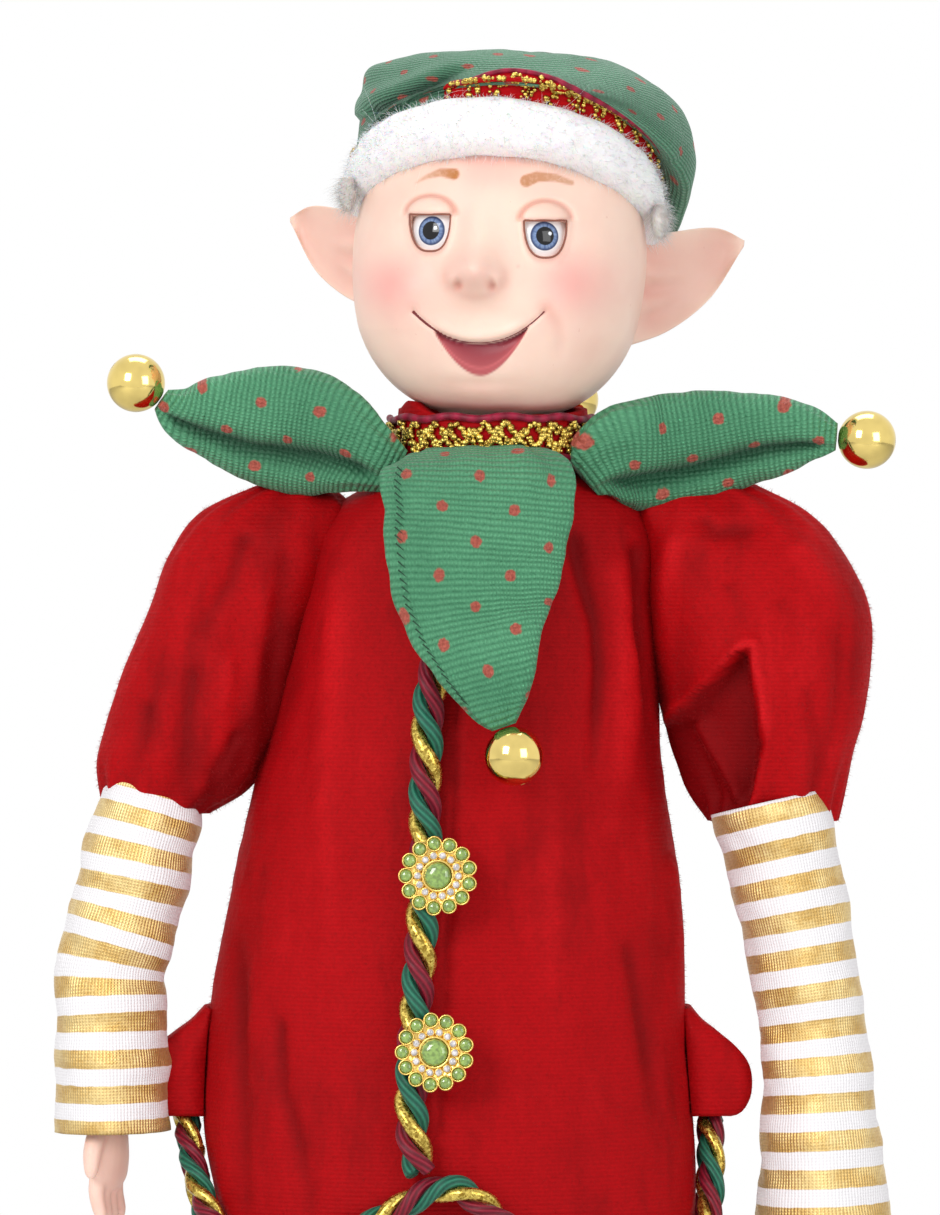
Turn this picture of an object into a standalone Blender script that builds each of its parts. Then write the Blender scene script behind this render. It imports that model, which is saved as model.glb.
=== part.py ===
"""A standing cloth elf with a moulded head, a padded petal collar, a velvet tunic and striped limbs.

Metres, +Z up. The figure faces -Y. "Right" and "left" are the figure's own sides, so its right is at -X.
Heights in the tables are in millimetres above the hip line, because the upper body stands on the legs.
"""

import math

import bmesh
import bpy
import numpy as np
from mathutils import Matrix, Vector
from mathutils.bvhtree import BVHTree

MM = 0.001
SIDES = (("right", -1), ("left", 1))

# Clearances and walls
GAP = 0.3 * MM
TUNIC_WALL = 2.4 * MM
TORSO_CLEARANCE = 1.2 * MM
SLEEVE_WALL = 1.6 * MM

# Heights from the floor
SOLE_THICKNESS = 5 * MM
BOOT_HEIGHT = 46 * MM
STOCKING_LENGTH = 268 * MM
BOOT_SOCKET_DEPTH = 22 * MM
STOCKING_FOOT = SOLE_THICKNESS + BOOT_HEIGHT - BOOT_SOCKET_DEPTH
HIP_HEIGHT = STOCKING_FOOT + STOCKING_LENGTH + 3 * MM

# Head, in its own frame before it is turned
HEAD_HALF_WIDTH = 38.5 * MM
HEAD_HALF_DEPTH = 38.0 * MM
HEAD_HALF_HEIGHT = 43.0 * MM
CHIN_HEIGHT = 204.0
HEAD_CENTRE = (7.8, -4.0, CHIN_HEIGHT + HEAD_HALF_HEIGHT / MM)
HEAD_YAW = math.radians(-8.0)
HEAD_ROLL = math.radians(3.0)
JAW_FULLNESS = 2.4
EYE_SPACING = 30.0 * MM
EYE_RADIUS = 7.8 * MM
EYE_HEIGHT = 4.6 * MM
EYE_PROUD = 0.9 * MM
EAR_LENGTH = 33.0 * MM
EAR_HEIGHT = 29.0 * MM
EAR_THICKNESS = 4.4 * MM
EAR_SWEEP = math.radians(44.0)

# Neck and the wires of the armature: the routes are places in millimetres, with their heights above the hips
NECK_RADIUS = 14.0 * MM
NECK_BELOW_HEAD_CENTRE = 33.0
NECK_TOP = HEAD_CENTRE[2] - NECK_BELOW_HEAD_CENTRE
WIRE_RADIUS = 1.5 * MM
SPINE_WIRE_INTO_HEAD = 8.0
SPINE_ROUTE = ((4, -1, 150), (-3, -1, 80), (-5, -1, 32))
SHOULDER_ROUTE = ((-14, 6, 168), (16, 6, 168))
LEG_WIRE_ABOVE_SOLE = 8.0 * MM
LEG_WIRE_ABOVE_HIPS = 60.0 * MM

# Balls, braid and buttons
BALL_RADIUS = 7.6 * MM
BALL_HOLE_RADIUS = 1.1 * MM
STRAND_RADIUS = 1.7 * MM
STRAND_ORBIT = 2.45 * MM
BRAID_PITCH = 24.0 * MM
HEM_CORD_RADIUS = 3.6 * MM
BUTTON_RADIUS = 8.6 * MM
BUTTON_LOBES = 13
BUTTON_LOBE_RADIUS = 1.75 * MM
BUTTON_THICKNESS = 2.0 * MM
GEM_RADIUS = 3.4 * MM

# Tunic: height, centre across, half width, half depth
TUNIC_STATIONS = (
    (190, 5.5, 24, 22.5),
    (186, 5.5, 34, 26),
    (177, 4, 43.5, 30),
    (157, 2, 47, 34),
    (118, -2, 52, 38),
    (79, -4, 59, 41),
    (48, -6, 62.5, 43),
    (27, -6, 64, 45),
    (-3, -4, 65, 47),
    (-40, -4, 67, 50),
)
HEM_NOTCH = 6.0
HEM_SIDE_NOTCH = 22.0
HEM_POINT = -36.0
HEM_SHORT_POINT = -18.0
TUNIC_COLUMNS = 28

# Limbs: points along each one, then half width and half depth at each
ARM_RADIUS = 9.5 * MM
ARM_ROUTES = {
    "right": ((-32, 1, 172), (-60, 0.5, 158), (-72, 0, 136), (-81, -2, 112), (-88, -4, 84), (-93, -6, 56), (-94, -7, 30)),
    "left": ((34, 2, 172), (66, 1, 156), (76, 0, 130), (80, -2, 98), (87, -4, 62), (91, -6, 28), (92, -7, 4)),
}
SLEEVE_STATIONS = {
    "right": ((-82, -3, 108, 12.5), (-86, -4, 94, 14.3), (-90, -5, 76, 14.4), (-94.2, -6, 60, 14.2), (-94, -7, 44, 14.6), (-93.6, -7, 18, 15.0)),
    "left": ((78.5, -3, 104, 15.5), (83, -4, 84, 14.6), (87, -5, 62, 14.0), (90, -6, 40, 14.0), (91.5, -7, 16, 15.6), (92.3, -7, -9, 18.2)),
}
PUFF_STATIONS = {
    "right": ((-47, 187, 9), (-51, 182, 16), (-58, 170, 20.5), (-63, 156, 20.5), (-67, 140, 23), (-71.5, 125, 23.5), (-76, 113, 22), (-79, 105.5, 18), (-82, 101, 13.5)),
    "left": ((60, 188, 13), (66, 181, 21), (73.5, 167, 26), (76, 154, 28.5), (76.5, 141, 28.5), (77, 128, 26.5), (77, 115, 23), (78, 105, 19.5), (79.5, 99, 16.5)),
}
PUFF_DEPTH_SHARE = 0.88
PUFF_COLUMNS = 20
PUFF_GATHER = 0.03
HAND_LENGTH = 40.0 * MM
FEET_SPREAD = 29.0 * MM
FEET_CENTRE = -3.0 * MM
LEG_DEPTH = 2.0 * MM
STOCKING_RADIUS = 12.5 * MM
STOCKING_ABOVE_HIPS = 24.0 * MM
BREECHES_LEG_RADIUS = 21.0 * MM
BREECHES_HEM = -62.0
# Height, half width, half depth of the hips
BREECHES_STATIONS = ((25, 52, 34), (10, 56, 38), (-6, 54, 37), (-16, 40, 28))
BREECHES_CENTRE = -5.0

# Petals of the collar: across, depth, height, half breadth, half thickness
PETAL_STATIONS = {
    "right": ((-19, -17, 190.5, 6, 4.5), (-26, -17, 194.2, 10, 6), (-33.8, -15, 198, 14.8, 7.5), (-44.2, -12, 201, 17.4, 8.5), (-54.6, -11, 202.5, 16.2, 8), (-66.3, -11, 204.3, 12, 6.5), (-76.7, -12, 206.6, 6.6, 4.6), (-80.6, -12.5, 209.2, 3, 2.4)),
    "left": ((29.5, -17, 188.5, 6, 4.5), (33, -16.5, 191.4, 10.5, 6.3), (39, -15, 194, 13.8, 7.5), (49.4, -12, 195.5, 15.6, 8.5), (60, -11, 197, 15.2, 8.2), (75.4, -11, 199.4, 12, 6.5), (88.4, -12, 200, 8.2, 5), (95.7, -12.5, 199.4, 3.4, 2.6)),
    "front": ((2.5, -26, 195, 17, 3), (2.6, -34, 190, 24, 4), (2, -40, 178, 24, 4.6), (1.2, -43, 166, 22.6, 5), (1.6, -45, 153, 19.2, 5), (3.6, -49, 143, 14.8, 4.4), (6, -50.5, 134, 10.4, 4), (7.6, -51, 127.6, 6, 3.4), (8.7, -51.2, 124.4, 3, 2.4)),
    "back": ((4, 30, 191, 17, 4), (4, 33.5, 184, 22, 4.6), (3, 38, 170, 23, 5), (2, 42, 156, 20.5, 5), (1, 44, 142, 15.5, 4.6), (0, 45.5, 131, 9, 4), (0, 46, 123, 3, 2.4)),
}
PETAL_LEAN = {"right": math.radians(24), "left": math.radians(24), "front": 0.0, "back": 0.0}

# Hat, with heights above the head's centre: centre across, centre depth, height, half width, half depth, rise of the
# front, rise of the right
HAT_STATIONS = (
    (10, 0, 26, 38.5, 39.5, 16, 3.6),
    (12, 1, 30, 41.5, 42, 13, 3),
    (15, 2, 35, 43, 43.5, 9, 2),
    (13.5, 3, 42.5, 41, 41.5, 5, 1),
    (10, 4, 48.5, 34, 35, 2.5, 0.5),
    (9, 5, 52, 22, 23, 0.8, 0),
    (9, 5, 53, 8, 9, 0, 0),
)
HAT_COLUMNS = 22
TAIL_STATIONS = ((20, 24, 32, 18, 13), (27, 39, 28, 18, 12), (31, 48, 15, 16, 9), (30, 51, -3, 11.5, 7), (28, 52, -18, 6.5, 5), (27, 52, -28, 2.8, 2.6))
BRIM_CENTRE = (9.3, -1.0)
BRIM_HALF_WIDTH = 35.5 * MM
BRIM_HALF_DEPTH = 37.5 * MM
BRIM_HALF_HEIGHT = 7.4 * MM
BRIM_HALF_THICKNESS = 5.2 * MM
BAND_LEVELS = (0.15, 2.1, 0.5)
BAND_THICKNESS = 2.4 * MM
TUFT_OFF_HEAD = {"right": 1.3 * MM, "left": 3.2 * MM}
TUFT_DEPTHS = {"right": -13.0 * MM, "left": -14.0 * MM}
TUFT_LENGTH = 13 * MM
TUFT_RADIUS = 3.4 * MM

# Collar at the neck
COLLAR_CENTRE = (6.0, -1.0)
COLLAR_HALF_WIDTH = 25.0 * MM
COLLAR_HALF_DEPTH = 23.5 * MM
COLLAR_THICKNESS = 3.4 * MM
COLLAR_FRONT_HEIGHT = 15.0 * MM
COLLAR_BACK_HEIGHT = 19.0 * MM
TRIM_HEIGHT = 13.0 * MM
TRIM_THICKNESS = 1.8 * MM

# Peplum at the back of the hips
PEPLUM_TOP = 50.0
PEPLUM_HEM = 24.0
PEPLUM_FLARE = 13.0 * MM
PEPLUM_REACH = math.radians(100)
PEPLUM_WALL = 2.2 * MM

# The braid's route down the front: across, height
BRAID_ROUTE = ((-7.8, 141), (-9.7, 131), (-10.4, 118), (-10.9, 105), (-10.7, 92), (-11.4, 79), (-12.2, 66), (-13.2, 53), (-14, 40), (-14.4, 27), (-13.6, 17), (-12, 10.5))
BUTTON_PLACES = {"upper": (-7.5, 85.5), "lower": (-8.3, 40.3)}

# Where the lines start that find the tunic's surface: clear of the figure's front, and clear of the tunic's sides
CLEAR_IN_FRONT = -120.0
CLEAR_OUTSIDE = 60.0 * MM

# Colour, roughness, metallic
COLOURS = {
    "skin": ((0.93, 0.72, 0.62), 0.45, 0.0),
    "eye_white": ((0.92, 0.93, 0.95), 0.12, 0.0),
    "green_cloth": ((0.09, 0.33, 0.17), 0.6, 0.0),
    "red_velvet": ((0.42, 0.0, 0.01), 0.85, 0.0),
    "gold_trim": ((0.72, 0.53, 0.16), 0.35, 0.7),
    "white_fur": ((0.92, 0.9, 0.9), 0.95, 0.0),
    "gold_ball": ((0.85, 0.68, 0.28), 0.12, 1.0),
    "striped_cloth": ((0.85, 0.76, 0.6), 0.6, 0.0),
    "burgundy_cord": ((0.36, 0.02, 0.06), 0.6, 0.0),
    "green_cord": ((0.03, 0.24, 0.17), 0.6, 0.0),
    "button_metal": ((0.8, 0.6, 0.25), 0.2, 1.0),
    "gem_green": ((0.45, 0.75, 0.2), 0.08, 0.0),
    "plain_cloth": ((0.8, 0.76, 0.68), 0.9, 0.0),
    "wire": ((0.6, 0.6, 0.62), 0.3, 1.0),
    "sole": ((0.12, 0.05, 0.04), 0.7, 0.0),
}


def clear_scene():
    for obj in list(bpy.data.objects):
        bpy.data.objects.remove(obj, do_unlink=True)


def new_collection(name, hidden=False):
    collection = bpy.data.collections.new(name)
    bpy.context.scene.collection.children.link(collection)
    collection.hide_render = hidden
    return collection


def make_material(name):
    colour, roughness, metallic = COLOURS[name]
    material = bpy.data.materials.new(name)
    material.use_nodes = True
    shader = material.node_tree.nodes["Principled BSDF"]
    shader.inputs["Base Color"].default_value = (*colour, 1.0)
    shader.inputs["Roughness"].default_value = roughness
    shader.inputs["Metallic"].default_value = metallic
    return material


def above_hips(across, depth, height):
    """A place on the upper body, from millimetres, with its height counted from the hip line."""
    return Vector((across * MM, depth * MM, HIP_HEIGHT + height * MM))


def above_head(across, depth, height):
    """A place on the hat, from millimetres, with its height counted from the head's centre."""
    return above_hips(across, depth, HEAD_CENTRE[2] + height)


def add_object(name, data, material, collection):
    obj = bpy.data.objects.new(name, data)
    obj.data.materials.append(material)
    collection.objects.link(obj)
    return obj


def mesh_object(name, build, material, collection):
    """build fills a bmesh; its normals are turned outwards."""
    bm = bmesh.new()
    build(bm)
    bmesh.ops.recalc_face_normals(bm, faces=bm.faces)
    mesh = bpy.data.meshes.new(name)
    bm.to_mesh(mesh)
    bm.free()
    mesh.shade_smooth()
    mesh.set_sharp_from_angle(angle=math.radians(50))
    return add_object(name, mesh, material, collection)


def between(stations, height):
    """The values of a table of stations at a height, smoothly between its rows (highest row first)."""
    table = np.array(stations, float)[::-1]
    knots = table[:, 0]
    slopes = np.gradient(table[:, 1:], knots, axis=0)
    index = int(np.clip(np.searchsorted(knots, height) - 1, 0, len(knots) - 2))
    span = knots[index + 1] - knots[index]
    t = np.clip((height - knots[index]) / span, 0, 1)
    low, high = table[index, 1:], table[index + 1, 1:]
    return (
        (1 + 2 * t) * (1 - t) ** 2 * low
        + t * (1 - t) ** 2 * span * slopes[index]
        + t * t * (3 - 2 * t) * high
        - t * t * (1 - t) * span * slopes[index + 1]
    )


def oval(centre, across, depth, half_width, half_depth, count, power=2.0):
    """Points round a superellipse."""
    angles = np.arange(count) * 2 * math.pi / count
    cosines = np.sign(np.cos(angles)) * np.abs(np.cos(angles)) ** (2 / power)
    sines = np.sign(np.sin(angles)) * np.abs(np.sin(angles)) ** (2 / power)
    return [
        Vector(centre) + Vector(across) * half_width * c + Vector(depth) * half_depth * s
        for c, s in zip(cosines, sines)
    ]


def drawn_in(count):
    """How far a ring of this many points has to stand out so that its smooth curve has the stated radius."""
    return 3 / (2 + math.cos(2 * math.pi / count))


def loft(name, rings, material, collection, closed=False):
    """Skins rings of points that lie one after another. Open lofts end in flat caps; closed ones join up."""

    def build(bm):
        rows = [[bm.verts.new(p) for p in ring] for ring in rings]
        pairs = list(zip(rows, rows[1:]))
        if closed:
            pairs.append((rows[-1], rows[0]))
        for low, high in pairs:
            count = len(low)
            for i in range(count):
                j = (i + 1) % count
                bm.faces.new((low[i], low[j], high[j], high[i]))
        if not closed:
            bm.faces.new(rows[0])
            bm.faces.new(rows[-1])

    return mesh_object(name, build, material, collection)


def route_rings(points, half_widths, half_depths, count=10, lean=0.0, power=2.0):
    """Rings square to a route, with their depth as near to +Y as the route lets them be, and turned by lean."""
    route = [Vector(p) for p in points]
    rings = []
    for i, centre in enumerate(route):
        along = (route[min(i + 1, len(route) - 1)] - route[max(i - 1, 0)]).normalized()
        depth = Vector((0, 1, 0)) - along * along.y
        depth.normalize()
        depth.rotate(Matrix.Rotation(lean, 3, along))
        across = depth.cross(along)
        stand = drawn_in(count)
        rings.append(oval(centre, across, depth, half_widths[i] * stand, half_depths[i] * stand, count, power))
    return rings


def tube(name, points, radius, material, collection, resolution=2):
    """A round wire or cord along a polyline, made a mesh with its caps welded on."""
    curve = bpy.data.curves.new(name + "_line", "CURVE")
    curve.dimensions = "3D"
    curve.bevel_depth = radius
    curve.bevel_resolution = resolution
    curve.use_fill_caps = True
    spline = curve.splines.new("POLY")
    spline.points.add(len(points) - 1)
    for spot, point in zip(spline.points, points):
        spot.co = (*point, 1.0)
    line = bpy.data.objects.new(name + "_line", curve)
    collection.objects.link(line)
    bpy.context.view_layer.update()
    graph = bpy.context.evaluated_depsgraph_get()
    mesh = bpy.data.meshes.new_from_object(line.evaluated_get(graph))
    bm = bmesh.new()
    bm.from_mesh(mesh)
    bmesh.ops.remove_doubles(bm, verts=bm.verts, dist=0.00001)
    bmesh.ops.recalc_face_normals(bm, faces=bm.faces)
    bm.to_mesh(mesh)
    bm.free()
    bpy.data.objects.remove(line, do_unlink=True)
    return add_object(name, mesh, material, collection)


def smooth_route(points, count):
    """Points evenly spread along a Catmull-Rom curve through the given ones."""
    knots = np.array([tuple(p) for p in points], float)
    padded = np.vstack([2 * knots[0] - knots[1], knots, 2 * knots[-1] - knots[-2]])
    fine = []
    for i in range(1, len(padded) - 2):
        before, start, end, after = padded[i - 1 : i + 3]
        for t in np.linspace(0, 1, 24, endpoint=False):
            fine.append(
                0.5
                * (
                    2 * start
                    + (end - before) * t
                    + (2 * before - 5 * start + 4 * end - after) * t**2
                    + (3 * start - before - 3 * end + after) * t**3
                )
            )
    fine = np.array([*fine, knots[-1]])
    distance = np.concatenate([[0], np.cumsum(np.linalg.norm(np.diff(fine, axis=0), axis=1))])
    wanted = np.linspace(0, distance[-1], count)
    return [Vector([np.interp(w, distance, fine[:, k]) for k in range(3)]) for w in wanted]


def evaluated_mesh(obj):
    bpy.context.view_layer.update()
    graph = bpy.context.evaluated_depsgraph_get()
    return bpy.data.meshes.new_from_object(obj.evaluated_get(graph))


def space_for(obj, cutters, gap=GAP):
    """A cutter: the piece's shape so far with its surface moved out by the gap. Neighbours are cut back with it."""
    mesh = evaluated_mesh(obj)
    bm = bmesh.new()
    bm.from_mesh(mesh)
    bmesh.ops.transform(bm, matrix=obj.matrix_world, verts=bm.verts)
    bm.normal_update()
    moves = [(v, v.normal * gap * min(v.calc_shell_factor(), 1.6)) for v in bm.verts]
    for v, move in moves:
        v.co += move
    bm.to_mesh(mesh)
    bm.free()
    cutter = bpy.data.objects.new(obj.name + "_space", mesh)
    cutters.objects.link(cutter)
    cutter.hide_render = True
    cutter.display_type = "WIRE"
    return cutter


def boolean(obj, other, operation):
    modifier = obj.modifiers.new(operation.title() + "_" + other.name, "BOOLEAN")
    modifier.operation = operation
    modifier.solver = "EXACT"
    modifier.use_self = True
    modifier.object = other


def cut_back(obj, spaces):
    for space in spaces:
        boolean(obj, space, "DIFFERENCE")


def helper(obj, cutters):
    """Moves a shape that only cuts or joins into the cutters' collection."""
    for collection in list(obj.users_collection):
        collection.objects.unlink(obj)
    cutters.objects.link(obj)
    obj.hide_render = True
    obj.display_type = "WIRE"
    return obj


def tunic_point(angle, height, inset=0.0):
    """A place on the tunic: angle 0 is the front and pi / 2 the figure's left, height is in millimetres."""
    centre, half_width, half_depth = between(TUNIC_STATIONS, height)
    across = (centre + half_width * math.sin(angle)) * MM - inset * math.sin(angle)
    depth = -half_depth * math.cos(angle) * MM + inset * math.cos(angle)
    return Vector((across, depth, HIP_HEIGHT + height * MM))


def hem_height(angle):
    """The hem has four notches, at the front, back and sides, with a rounded point between each two."""
    sideways = math.sin(angle) ** 2
    notch = HEM_NOTCH + (HEM_SIDE_NOTCH - HEM_NOTCH) * sideways
    short = math.sin(angle) < 0 < math.cos(angle)
    drop = math.sqrt(math.sin(2 * angle) ** 2 + 0.01) - 0.1
    return notch + ((HEM_SHORT_POINT if short else HEM_POINT) - notch) * drop


def tunic_rows(shares):
    """Rings of the tunic's outside, at these shares of the way from the neckline to the hem."""
    top = TUNIC_STATIONS[0][0]
    return [
        [tunic_point(angle, top + (hem_height(angle) - top) * share) for angle in round_angles(TUNIC_COLUMNS)]
        for share in shares
    ]


def make_tunic(materials, parts, cutters):
    """An open grid from the neck to the hem, thickened inwards. Its lowest rows follow the hem. The space is that of
    the same form filled."""
    shares = (0, 0.025, 0.075, 0.16, 0.3, 0.46, 0.62, 0.76, 0.89, 1.0)

    def build(bm):
        rows = [[bm.verts.new(point) for point in row] for row in tunic_rows(shares)]
        for high, low in zip(rows, rows[1:]):
            for i in range(TUNIC_COLUMNS):
                j = (i + 1) % TUNIC_COLUMNS
                bm.faces.new((low[i], low[j], high[j], high[i]))

    tunic = mesh_object("tunic", build, materials["red_velvet"], parts)
    wall = tunic.modifiers.new("Wall", "SOLIDIFY")
    wall.thickness = TUNIC_WALL
    wall.offset = -1
    wall.use_even_offset = False
    form = loft("tunic_form", tunic_rows(shares[:-1]), materials["red_velvet"], parts)
    return tunic, space_for(helper(form, cutters), cutters, 2 * GAP)


def make_torso(materials, parts):
    """The stuffed body that fills the tunic, with the neck stub that the head is pushed onto."""
    inset = TUNIC_WALL + TORSO_CLEARANCE + GAP
    neck_across = COLLAR_CENTRE[0]
    rings = []
    for height, share in ((13, 0.45), (18, 0.8), (30, 1.0), (60, 1.0), (100, 1.0), (150, 1.0), (168, 0.97)):
        centre, half_width, half_depth = between(TUNIC_STATIONS, height)
        half_sizes = [(half * MM - inset) * share for half in (half_width, half_depth)]
        rings.append(oval(above_hips(centre, 0, height), (1, 0, 0), (0, 1, 0), *half_sizes, 14))
    for height, share in ((180, 1.3), (188, 1.0), (NECK_TOP, 0.96)):
        radius = NECK_RADIUS * share
        rings.append(oval(above_hips(neck_across, COLLAR_CENTRE[1], height), (1, 0, 0), (0, 1, 0), radius, radius, 14))
    return loft("torso", rings, materials["plain_cloth"], parts)


def head_form(direction):
    """The head's surface in its own frame, from a direction: an oval skull with a fuller jaw and the face's relief."""
    power = 2.0 + (JAW_FULLNESS - 2.0) * min(1.0, max(0.0, -direction.z * 2))
    size = (
        abs(direction.x / HEAD_HALF_WIDTH) ** power
        + abs(direction.y / HEAD_HALF_DEPTH) ** power
        + abs(direction.z / HEAD_HALF_HEIGHT) ** power
    ) ** (-1 / power)
    point = direction * size
    front = min(1.0, max(0.0, (-direction.y - 0.1) / 0.4))
    x, z = abs(point.x) / MM, point.z / MM

    def bump(centre_x, centre_z, spread_x, spread_z, height):
        return height * MM * math.exp(-(((x - centre_x) / spread_x) ** 2) - ((z - centre_z) / spread_z) ** 2)

    relief = (
        bump(0, -6.5, 6.8, 6.0, 8.6)
        + bump(0, 3.5, 4.5, 7.0, 2.2)
        + bump(5.5, -8.5, 3.4, 3.2, 1.8)
        + bump(20, -12, 10, 9, 2.6)
        + bump(0, -38, 9, 7, 2.2)
        - bump(15, 4.6, 7.5, 6.0, 1.6)
        - bump(6, -25, 8.5, 3.2, 2.2)
    )
    return point + Vector((0, -1, 0)) * relief * front


def head_matrix():
    turn = Matrix.Rotation(HEAD_YAW, 4, "Z")
    tip = Matrix.Rotation(HEAD_ROLL, 4, "Y")
    return Matrix.Translation(above_hips(*HEAD_CENTRE)) @ tip @ turn


def ear_rings(sign):
    """An elf ear grown sideways and back from the head: a cupped leaf that narrows to a rounded point."""
    table = (
        (-0.18, 0.86, 0.0, 1.0),
        (0.1, 1.0, 0.02, 1.0),
        (0.35, 0.84, 0.08, 0.9),
        (0.6, 0.6, 0.17, 0.75),
        (0.82, 0.36, 0.27, 0.6),
        (1.0, 0.14, 0.34, 0.45),
    )
    out = Vector((sign * math.cos(EAR_SWEEP), math.sin(EAR_SWEEP), 0))
    through = Vector((0, 0, 1)).cross(out)
    rings = []
    for share, breadth, rise, thick in table:
        root = Vector((sign * HEAD_HALF_WIDTH * 0.9, 2 * MM, EAR_HEIGHT * (rise - 0.18)))
        half_height, half_thickness = EAR_HEIGHT / 2 * breadth, EAR_THICKNESS / 2 * thick
        rings.append(oval(root + out * EAR_LENGTH * share, (0, 0, 1), through, half_height, half_thickness, 10))
    return rings


def make_head(materials, parts, cutters, torso):
    """One moulded piece: a sphere drawn into the head's form, with both ears joined on. It has sockets for the eyes
    and the neck."""

    def build(bm):
        bmesh.ops.create_uvsphere(bm, u_segments=28, v_segments=20, radius=1)
        for v in bm.verts:
            turned = math.atan2(v.co.x, -v.co.y)
            packed = turned - 0.45 * math.sin(turned)
            flat = math.hypot(v.co.x, v.co.y)
            v.co = head_form(Vector((flat * math.sin(packed), -flat * math.cos(packed), v.co.z)).normalized())

    head = mesh_object("head", build, materials["skin"], parts)
    head.matrix_world = head_matrix()
    for name, sign in SIDES:
        ear = loft("ear_" + name, ear_rings(sign), materials["skin"], parts)
        ear.matrix_world = head_matrix()
        boolean(head, helper(ear, cutters), "UNION")
    space = space_for(head, cutters)
    eyes = make_eyes(materials, parts)
    cut_back(head, [space_for(piece, cutters) for piece in (*eyes, torso)])
    return head, space


def make_eyes(materials, parts):
    """Glass eyes: each is a ball set so that its front just stands in the face's surface."""
    eyes = []
    for name, sign in SIDES:
        outward = Vector((sign * EYE_SPACING / 2, 0, EYE_HEIGHT))
        across, up = outward.x / HEAD_HALF_WIDTH, outward.z / HEAD_HALF_HEIGHT
        face = head_form(Vector((across, -math.sqrt(1 - across**2 - up**2), up)).normalized())
        centre = Vector((outward.x, face.y + EYE_RADIUS - EYE_PROUD, outward.z))

        def build(bm, centre=centre):
            bmesh.ops.create_uvsphere(bm, u_segments=12, v_segments=8, radius=EYE_RADIUS)
            bmesh.ops.translate(bm, vec=centre, verts=bm.verts)

        eye = mesh_object("eye_" + name, build, materials["eye_white"], parts)
        eye.matrix_world = head_matrix()
        eyes.append(eye)
    return eyes


def ring_band(centre, half_width, half_depth, half_height, half_thickness, count=20, section=8, power=2.0):
    """Rings round a level loop, such as a ribbon sewn round a collar."""
    rings = []
    for angle in round_angles(count):
        out = Vector((math.sin(angle), -math.cos(angle), 0))
        spot = Vector(centre) + Vector((half_width * out.x, half_depth * out.y, 0))
        rings.append(oval(spot, out, (0, 0, 1), half_thickness, half_height, section, power))
    return rings


def hat_point(angle, level, stand_off=0.0):
    """A place on the hat's crown: level counts its stations from the lowest, and angle 0 is the front."""
    table = [(i, *row) for i, row in reversed(list(enumerate(HAT_STATIONS)))]
    across, depth, height, half_width, half_depth, front_rise, right_rise = between(table, level)
    out = Vector((math.sin(angle), -math.cos(angle), 0))
    spot = above_head(across, depth, height + front_rise * math.cos(angle) - right_rise * math.sin(angle))
    return spot + Vector((out.x * half_width * MM, out.y * half_depth * MM, 0)) + out * stand_off


def under_hat(point):
    """Lays a point of the brim against the crown's tilted lower edge, from a place centred on the brim's axis."""
    across, depth, height, half_width, half_depth, front_rise, right_rise = HAT_STATIONS[0]
    spot = above_head(*BRIM_CENTRE, height) + point
    forward = (depth * MM - spot.y) / half_depth
    rightward = (across * MM - spot.x) / half_width
    return spot + Vector((0, 0, front_rise * forward + right_rise * rightward))


def round_angles(count):
    return [2 * math.pi * i / count for i in range(count)]


def make_hat(materials, parts, cutters, head_space):
    """Crown with its folded tail, trimmed band, fur brim and the ball on the tail's tip."""
    levels = np.linspace(0, len(HAT_STATIONS) - 1, 2 * len(HAT_STATIONS) - 1)
    rings = [[hat_point(angle, level) for angle in round_angles(HAT_COLUMNS)] for level in levels]
    crown = loft("hat_crown", rings, materials["green_cloth"], parts)
    route = [above_head(*row[:3]) for row in TAIL_STATIONS]
    half_widths, half_depths = ([row[k] * MM for row in TAIL_STATIONS] for k in (3, 4))
    tail_rings = route_rings(route, half_widths, half_depths, count=12)
    tail = loft("hat_tail", tail_rings, materials["green_cloth"], parts)
    boolean(crown, helper(tail, cutters), "UNION")
    crown_space = space_for(crown, cutters, 3 * GAP)
    ball_centre = route[-1] - Vector((0, 0, BALL_RADIUS + GAP * 1.5))
    make_ball("hat_ball", ball_centre, Vector((0, 0, 1)), materials, parts)

    lowest, middle, extra = BAND_LEVELS
    rings = []
    for angle in round_angles(HAT_COLUMNS):
        top = middle + extra * math.cos(angle)
        inner = [hat_point(angle, level, -BAND_THICKNESS) for level in (lowest, top)]
        outer = [hat_point(angle, level, BAND_THICKNESS) for level in (top, 1.3, lowest)]
        rings.append(inner + outer)
    band = loft("hat_band", rings, materials["red_velvet"], parts, closed=True)
    cut_back(band, [crown_space])

    rings = []
    for angle in round_angles(18):
        out = Vector((math.sin(angle), -math.cos(angle), 0))
        spot = Vector((BRIM_HALF_WIDTH * out.x, BRIM_HALF_DEPTH * out.y, -BRIM_HALF_HEIGHT - GAP * 1.5))
        ring = oval(spot, out, (0, 0, 1), BRIM_HALF_THICKNESS, BRIM_HALF_HEIGHT, 10, 2.4)
        rings.append([under_hat(point) for point in ring])
    brim = loft("fur_brim", rings, materials["white_fur"], parts, closed=True)
    brim_space = space_for(brim, cutters)
    cut_back(crown, [head_space])
    cut_back(brim, [head_space])
    for name, sign in SIDES:
        cut_back(make_tuft(name, sign, materials, parts), [brim_space])


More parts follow.
